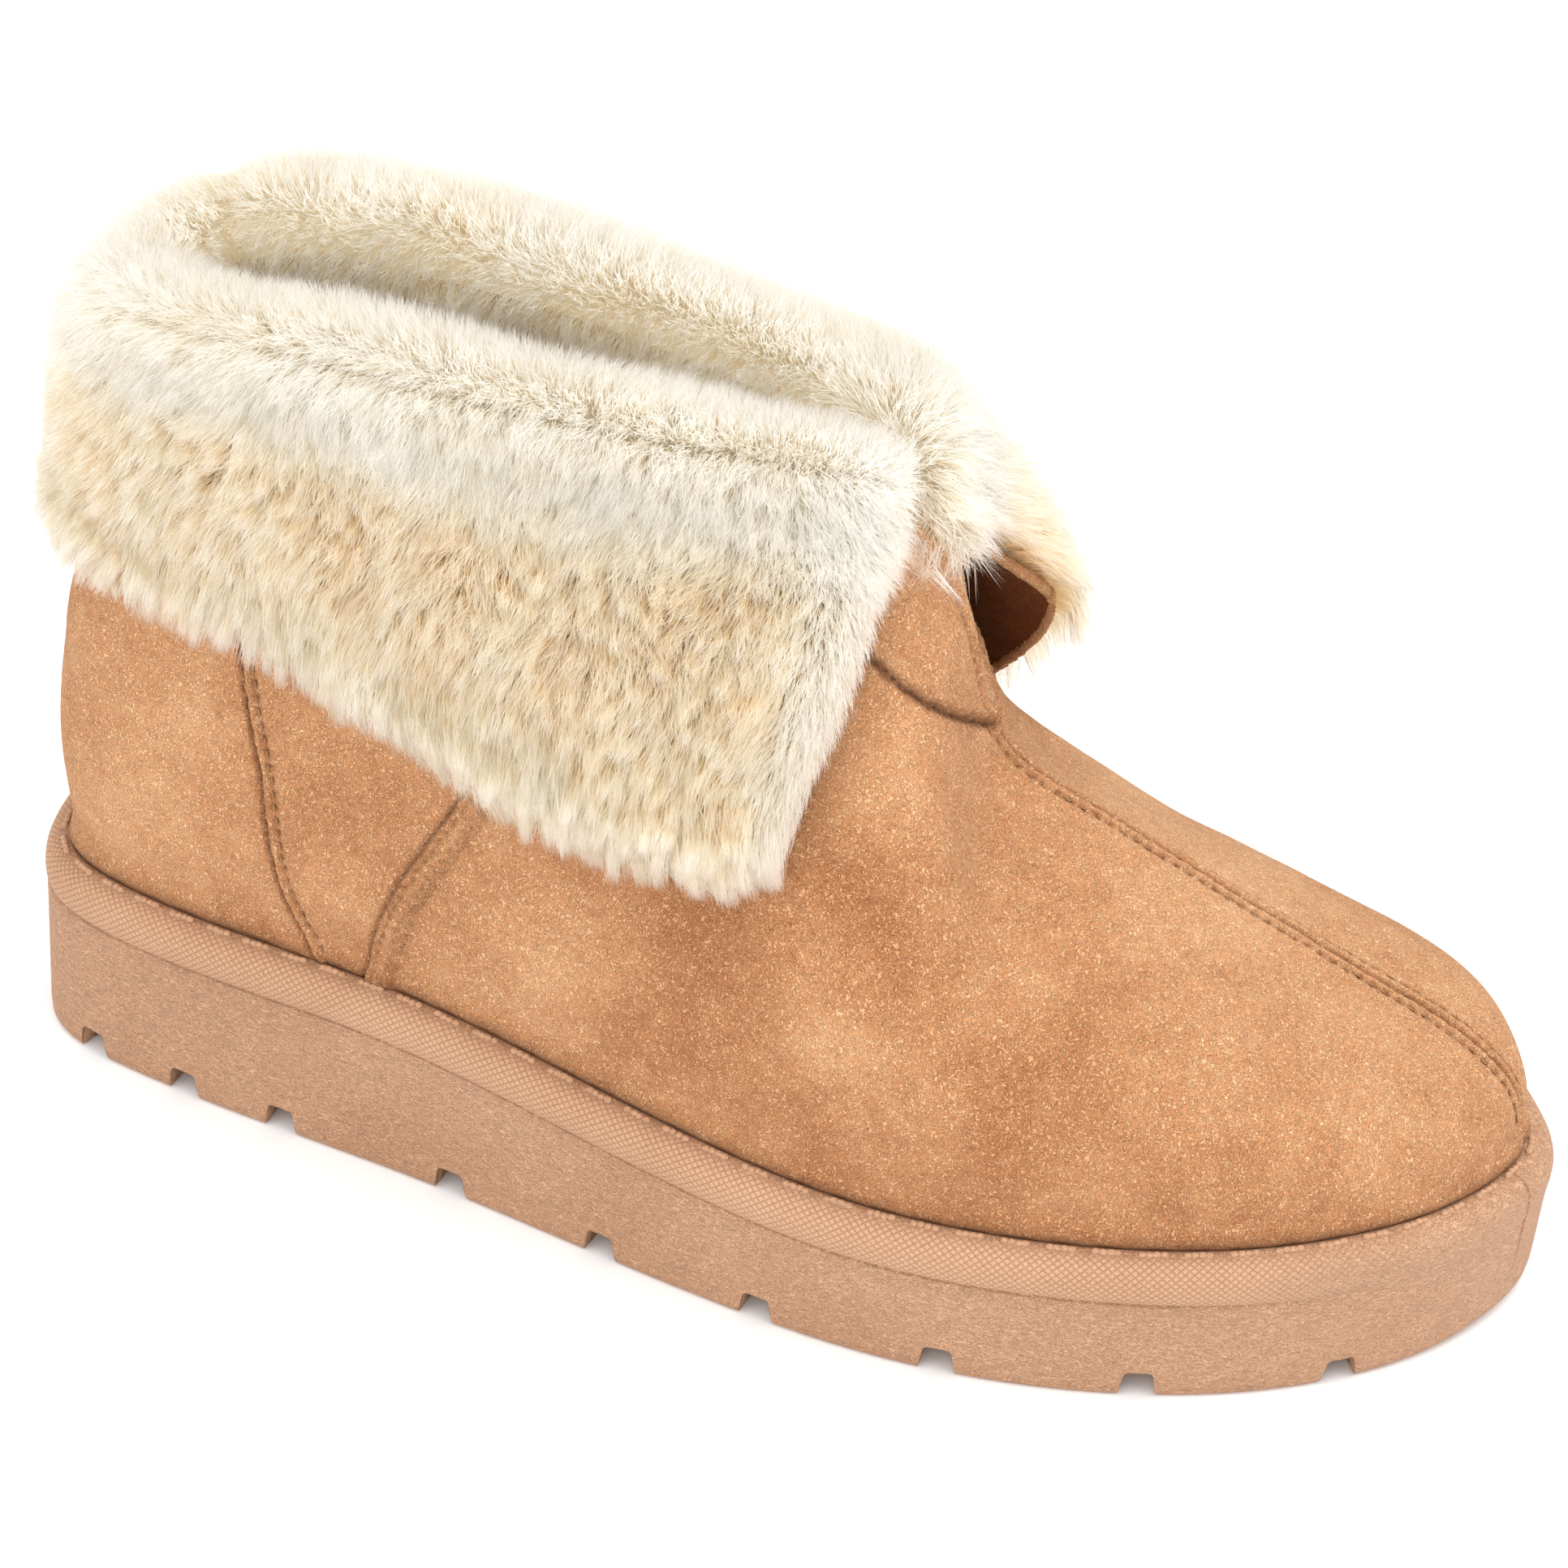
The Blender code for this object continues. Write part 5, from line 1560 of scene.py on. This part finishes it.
def pileTree(name):
    # strands on a surface: they rise along its normal, lean with the comb and gather in tufts and locks
    tree = bpy.data.node_groups.new(name, "GeometryNodeTree")
    face = tree.interface
    face.new_socket("Scalp", in_out="INPUT", socket_type="NodeSocketGeometry")
    for label in pileInputs:
        face.new_socket(label, in_out="INPUT", socket_type="NodeSocketFloat")
    face.new_socket("Seed", in_out="INPUT", socket_type="NodeSocketInt")
    face.new_socket("Strand", in_out="INPUT", socket_type="NodeSocketObject")
    face.new_socket("Finish", in_out="INPUT", socket_type="NodeSocketMaterial")
    face.new_socket("Pile", in_out="OUTPUT", socket_type="NodeSocketGeometry")
    given = put(tree, "NodeGroupInput").outputs

    def times(a, b):
        return mathNode(tree, "MULTIPLY", a, b)

    def named(label, kind="FLOAT"):
        return put(tree, "GeometryNodeInputNamedAttribute", {"Name": label}, data_type=kind).outputs[0]

    def spotOf(label):
        return named(label, "FLOAT_VECTOR")

    def vector(operation, a, b=None, scale=None):
        return put(tree, "ShaderNodeVectorMath", {0: a, 1: b, "Scale": scale}, operation=operation).outputs[0]

    def seedFrom(shift):
        return put(tree, "FunctionNodeIntegerMath", {0: given["Seed"], 1: shift}, operation="ADD").outputs[0]

    def randomVector(size, shift):
        return put(tree, "FunctionNodeRandomValue", {0: (-size,) * 3, 1: (size,) * 3, "Seed": seedFrom(shift)},
                   data_type="FLOAT_VECTOR").outputs[0]

    def randomFloat(low, high, shift):
        return put(tree, "FunctionNodeRandomValue", {2: low, 3: high, "Seed": seedFrom(shift)},
                   data_type="FLOAT").outputs[1]

    def keep(geometry, label, value, kind="FLOAT"):
        inputs = {"Geometry": geometry, "Name": label, "Value": value}
        return put(tree, "GeometryNodeStoreNamedAttribute", inputs, data_type=kind, domain="POINT").outputs[0]

    def mixVector(share, a, b):
        node = put(tree, "ShaderNodeMix", data_type="VECTOR")
        for key, value in ((0, share), (4, a), (5, b)):
            tree.links.new(value, node.inputs[key])
        return node.outputs[1]

    position = put(tree, "GeometryNodeInputPosition").outputs[0]

    def grown(points, normal, jitter, shift, lengthSway):
        # stores where a strand on these points would end
        points = keep(points, "out", normal, "FLOAT_VECTOR")
        lean = vector("ADD", vector("SCALE", spotOf("out"), scale=named("lift")), spotOf("comb"))
        lean = vector("NORMALIZE", lean)
        stray = vector("SCALE", randomVector(1.0, shift), scale=times(jitter, named("loose")))
        lean = vector("ADD", lean, stray)
        lean = vector("NORMALIZE", lean)
        sway = randomFloat(1 - lengthSway, 1 + lengthSway, shift + 1)
        points = keep(points, "reach", times(times(given["Length"], named("long")), sway))
        end = vector("ADD", position, vector("SCALE", lean, scale=named("reach")))
        return keep(points, "end", end, "FLOAT_VECTOR")

    def centres(size, shift, wander, lengthSway):
        node = put(tree, "GeometryNodeDistributePointsOnFaces", {"Mesh": given["Scalp"], "Distance Min": size,
                   "Density Max": 4000000.0, "Seed": seedFrom(shift)}, distribute_method="POISSON")
        return grown(node.outputs[0], node.outputs[1], wander, shift + 2, lengthSway)

    node = put(tree, "GeometryNodeDistributePointsOnFaces", {"Mesh": given["Scalp"], "Density": times(
        given["Density"], named("thick")), "Seed": given["Seed"]}, distribute_method="RANDOM")
    points = grown(node.outputs[0], node.outputs[1], given["Jitter"], 20, 0.16)
    points = keep(points, "root", position, "FLOAT_VECTOR")
    still = put(tree, "ShaderNodeValue").outputs[0]
    still.default_value = pile["lockWander"]
    tufts = centres(given["Tuft Size"], 40, given["Tuft Wander"], 0.16)
    tuftPull = times(given["Tuft Pull"], named("crumb"))
    locks = centres(given["Lock Size"], 60, still, 0.12)
    lockPull = times(given["Lock Pull"], named("lock"))
    for bundle, pull, label in ((tufts, tuftPull, "tuft"), (locks, lockPull, "lockTone")):
        nearest = put(tree, "GeometryNodeSampleNearest", {"Geometry": bundle, 1: position},
                      domain="POINT").outputs[0]
        sample = put(tree, "GeometryNodeSampleIndex", {"Geometry": bundle, "Value": spotOf("end"),
                     "Index": nearest}, data_type="FLOAT_VECTOR", domain="POINT").outputs[0]
        share = times(pull, randomFloat(0.55, 1.0, 80))
        points = keep(points, "end", mixVector(share, spotOf("end"), sample), "FLOAT_VECTOR")
        toned = put(tree, "FunctionNodeRandomValue", {2: -1.0, 3: 1.0, "ID": nearest, "Seed": 5},
                    data_type="FLOAT").outputs[1]
        points = keep(points, label, toned)
    # the blade's side lies across the strand and roughly along the surface
    ahead = vector("SUBTRACT", spotOf("end"), position)
    facing = vector("ADD", spotOf("out"), randomVector(0.7, 90))
    across = vector("NORMALIZE", vector("CROSS_PRODUCT", ahead, facing))
    thin = times(given["Width"], randomFloat(0.6, 1.15, 95))
    points = keep(points, "across", vector("SCALE", across, scale=thin), "FLOAT_VECTOR")
    bend = vector("ADD", vector("SCALE", spotOf("out"), scale=times(named("reach"), 0.5)),
                  vector("SCALE", randomVector(1.0, 97), scale=times(named("reach"), given["Curl"])))
    points = keep(points, "bend", vector("ADD", position, bend), "FLOAT_VECTOR")
    tone = sumNodes(tree, randomFloat(-0.08, 0.08, 99), times(times(named("tuft"), 0.10), named("crumb")),
                    times(times(named("lockTone"), 0.06), named("lock")), named("pale"))
    points = keep(points, "tone", tone)
    blade = put(tree, "GeometryNodeObjectInfo", {"Object": given["Strand"]}).outputs["Geometry"]
    split = put(tree, "ShaderNodeSeparateXYZ", {0: position}).outputs
    blade = keep(keep(blade, "tip", split[2]), "side", split[0])
    strands = put(tree, "GeometryNodeInstanceOnPoints", {"Points": points, "Instance": blade}).outputs[0]
    strands = put(tree, "GeometryNodeRealizeInstances", {0: strands}).outputs[0]
    tip = named("tip")
    rest = mathNode(tree, "SUBTRACT", 1.0, tip)
    spot = vector("SCALE", spotOf("root"), scale=times(rest, rest))
    spot = vector("ADD", spot, vector("SCALE", spotOf("bend"), scale=times(times(tip, rest), 2.0)))
    spot = vector("ADD", spot, vector("SCALE", spotOf("end"), scale=times(tip, tip)))
    spot = vector("ADD", spot, vector("SCALE", spotOf("across"), scale=named("side")))
    strands = put(tree, "GeometryNodeSetPosition", {"Geometry": strands, "Position": spot}).outputs[0]
    for label in ("root", "bend", "end", "across", "side", "out", "reach", "tuft", "lockTone", "comb", "lift",
                  "long", "thick", "lock", "pale", "crumb", "loose"):
        strands = put(tree, "GeometryNodeRemoveAttribute", {"Geometry": strands, "Name": label}).outputs[0]
    strands = put(tree, "GeometryNodeSetMaterial", {"Geometry": strands,
                  "Material": given["Finish"]}).outputs[0]
    put(tree, "NodeGroupOutput", {0: strands})
    return tree


def scalpGrid():
    # the surface that the pile grows from: inside, crown and outer face
    p, places, normals, outer, inner, arch = pileBaseGrid()
    depth = np.linspace(cuff["insideDepth"], 1.0, cuff["insideRows"])
    inside = []
    for share in p:
        _, heights, points = sectionPath(share)
        lengths = lengthsAlong(points)
        reach = lengths[-1] - depth * mm
        t = np.interp(reach, lengths, heights)
        inward = skinNormals(np.full(len(t), share), t) * (shoe["wall"] + 0.0006)
        inside.append(pointsAlong(points, lengths, reach) - inward)
    down = unit(np.gradient(outer, axis=1))
    hem = outer[:, -1:] + down[:, -1:] * 0.0015 - normals[:, -1:] * 0.0012
    hemLow = outer[:, -1:] + down[:, -1:] * 0.0018 - normals[:, -1:] * 0.0030
    grid = np.concatenate([np.array(inside), inner[:, None], arch, outer, hem, hemLow], 1)
    insideEnd = len(depth) + 1
    outerStart = insideEnd + arch.shape[1]
    cap = grid[-1].copy()      # the inner front's end face, down to the flap's suede
    cap[outerStart:-2] = places[-1] + normals[-1] * cuff["suede"] * mm
    cap[-2:] = cap[-3]
    cap[insideEnd:outerStart] = np.linspace(inner[-1], cap[outerStart], arch.shape[1] + 2)[1:-1]
    return np.append(p, p[-1] + 0.0002), np.concatenate([grid, cap[None]]), insideEnd, outerStart


def scalpObject(grid, stations, columns, looks):
    # one part of the scalp; looks gives each attribute over the whole grid
    low, high = columns
    mesh = gridMesh("scalp", grid[stations][:, low:high])
    for label, values in looks.items():
        kind = "FLOAT_VECTOR" if values.ndim == 3 else "FLOAT"
        setAttribute(mesh, label, values[stations][:, low:high].reshape(-1, *values.shape[2:]), kind)
    return newObject("scalp", mesh)


def overColumns(grid, *places):
    # a value over the scalp's columns from (column, value) pairs, the same at every station
    columns, values = zip(*places)
    return np.tile(np.interp(np.arange(grid.shape[1]), columns, values), (len(grid), 1))


def pileLooks(p, grid, insideEnd, outerStart):
    # how the pile grows: its comb, lift, length, density, gathering and tone over the scalp, with painted light
    # on the crown and the cut front and painted shade in the crease
    def over(*places):
        return overColumns(grid, *places)

    last, crown = grid.shape[1] - 1, (insideEnd + outerStart) // 2
    lowest = last - outerStart
    down = unit(np.gradient(grid, axis=1))
    ahead = unit(np.gradient(grid[:-1], axis=0))
    ahead = np.concatenate([ahead, ahead[-1:]])
    fronts = np.tile(frontShare(p, cuff["frontSoftens"])[:, None], grid.shape[1])
    cut = (1 - fronts) * (p < 0)[:, None]
    fluffy = (1 - fronts) * (p > 0)[:, None]
    onCrown = over((insideEnd - 6, 0), (crown, 1), (outerStart + 3, 1), (outerStart + 9, 0))
    onOuter = over((outerStart, 0), (last, 1))
    fall = over((0, -0.60), (insideEnd - 5, -0.45), (crown, 0.12), (outerStart - 3, 0.62), (outerStart, 0.64),
                (outerStart + 8, 0.48), (outerStart + 0.6 * lowest, 0.60), (last - 5, 0.75), (last, 1.0))
    aside, along = noiseAt(grid, 62)[..., None], noiseAt(grid, 62, (9, 4, 1))[..., None]
    comb = down * fall[..., None] + ahead * (aside * 0.40) + down * (along * 0.30)
    comb = comb * (1 - 0.30 * cut[..., None])
    comb = comb + ahead * (cut * (0.22 - 0.40 * onCrown) + fluffy * (0.30 + 0.30 * onOuter))[..., None]
    comb[..., 2] -= fluffy * onOuter * 0.30
    lift = over((0, 0.8), (insideEnd, 0.9), (crown, 0.95), (outerStart, 1.1),
                (outerStart + 0.6 * lowest, 1.2), (last - 6, 0.9), (last, 0.55))
    lift = lift * (1 - cut) + cut
    long = over((0, 0.55), (insideEnd - 8, 0.88), (crown, 0.82), (outerStart, 0.92), (outerStart + 6, 1.0),
                (last - 8, 1.0), (last, 1.22))
    billow = noiseAt(grid, 48, (3, 7, 5))
    long = long * (1 + 0.15 * billow) * (1 - 0.22 * cut * (1 - onCrown)) * (1 + 0.28 * fluffy)
    # a fold on the inner side near the heel where the pile parts: shorter strands there, and painted shade
    # along it below
    crease = gauss(p, 0.145, 0.015)[:, None] * (1 - onOuter) * (1 - 0.2 * onCrown)
    long = long * (1 - 0.55 * crease)
    thick = over((0, 0.42), (insideEnd - 8, 0.85), (insideEnd, 1.0), (crown, 1.0), (outerStart - 1, 2.0),
                 (outerStart + 3, 1.6), (outerStart + 8, 1.0), (last - 6, 1.0), (last, 1.5))
    thick = thick * (1 + 0.5 * cut + 0.8 * fluffy)
    lock = over((0, 0.4), (insideEnd, 0.2), (outerStart + 0.45 * lowest, 0.25), (last, 1.0))
    crumb = over((0, 0.8), (insideEnd, 0.75), (crown, 0.50), (outerStart + 6, 0.75), (outerStart + 12, 1.0),
                 (last, 0.6))
    # paler over the crown, a painted highlight where its top meets the light; darker along the crease, painted
    # shade
    pale = over((0, 0.0), (insideEnd - 7, 0.20), (crown, 0.40), (outerStart + 3, 0.24), (outerStart + 9, -0.08),
                (last - 8, -0.04), (last, 0.18)) - 0.25 * crease
    # the cut front is painted paler: painted light where its dense pile shades itself
    return {"comb": comb, "lift": lift, "long": long, "thick": thick, "lock": lock * (1 - cut),
            "crumb": crumb * (1 - 0.8 * cut), "pale": pale + 0.40 * cut,
            "loose": 1 - 0.75 * cut * (1 - onCrown)}


def wispLooks(p, grid, insideEnd, outerStart):
    # long loose wisps that fall over the slit from both fronts of the crown
    outerFront = p[:, None] < 0
    near = 1 - np.where(outerFront, frontShare(p, 0.020)[:, None], frontShare(p, 0.035)[:, None])
    crest = overColumns(grid, (insideEnd - 7, 0), (insideEnd - 4, 1), (outerStart + 3, 1), (outerStart + 6, 0))
    looks = {label: np.full(grid.shape[:2], value) for label, value in wisp.items()}
    looks["thick"] = 0.15 * near * np.where(outerFront, 0.35, 1.0) * crest
    comb = np.where(outerFront[..., None], (0.85, -0.42, -0.50), (0.95, -0.55, -0.30))
    looks["comb"] = comb * np.ones_like(grid)
    return looks


def makePile():
    p, grid, insideEnd, outerStart = scalpGrid()
    stations, count = grid.shape[:2]
    looks = pileLooks(p, grid, insideEnd, outerStart)
    wisps = wispLooks(p, grid, insideEnd, outerStart)
    blade = newObject("strand", strandMesh())
    tree = pileTree("combedPile")
    heel = int(np.searchsorted(p, 0.0))
    everywhere, outerSide, innerSide = slice(0, stations), slice(0, heel + 1), slice(heel, stations)
    middle = (outerStart + count) // 2
    parts = [
        ("pile_lateral_upper", outerSide, (outerStart - 3, middle + 1), 1.1, looks),
        ("pile_lateral_lower", outerSide, (middle, count), 1.1, looks),
        ("pile_medial_upper", innerSide, (outerStart - 3, middle + 1), 0.62, looks),
        ("pile_medial_lower", innerSide, (middle, count), 0.62, looks),
        ("pile_crown", everywhere, (insideEnd - 3, outerStart - 2), 1.0, looks),
        ("pile_inside", everywhere, (0, insideEnd - 2), 0.55, looks),
        ("pile_wisps", everywhere, (insideEnd - 8, outerStart + 8), 1.0, wisps),
    ]
    for number, (name, rows, columns, share, shape) in enumerate(parts):
        scalp = scalpObject(grid, rows, columns, shape)
        values = {**settingsFor(pileInputs, pile), "Seed": 100 * number + 7, "Strand": blade,
                  "Finish": finish["pile"]}
        values["Density"] *= share
        mesh = evaluateNodes(scalp, tree, values)
        bpy.data.objects.remove(scalp)
        mesh.shade_smooth()
        strands = newObject(name, mesh)
        print(name, len(mesh.polygons), "faces")
        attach(strands, "root")
    bpy.data.objects.remove(blade)


makeCuffBody()
makeCuffSuede()
makePile()
print("cuff made")

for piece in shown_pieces():
    print(piece.name, sum(len(f.vertices) - 2 for f in piece.data.polygons), "triangles")
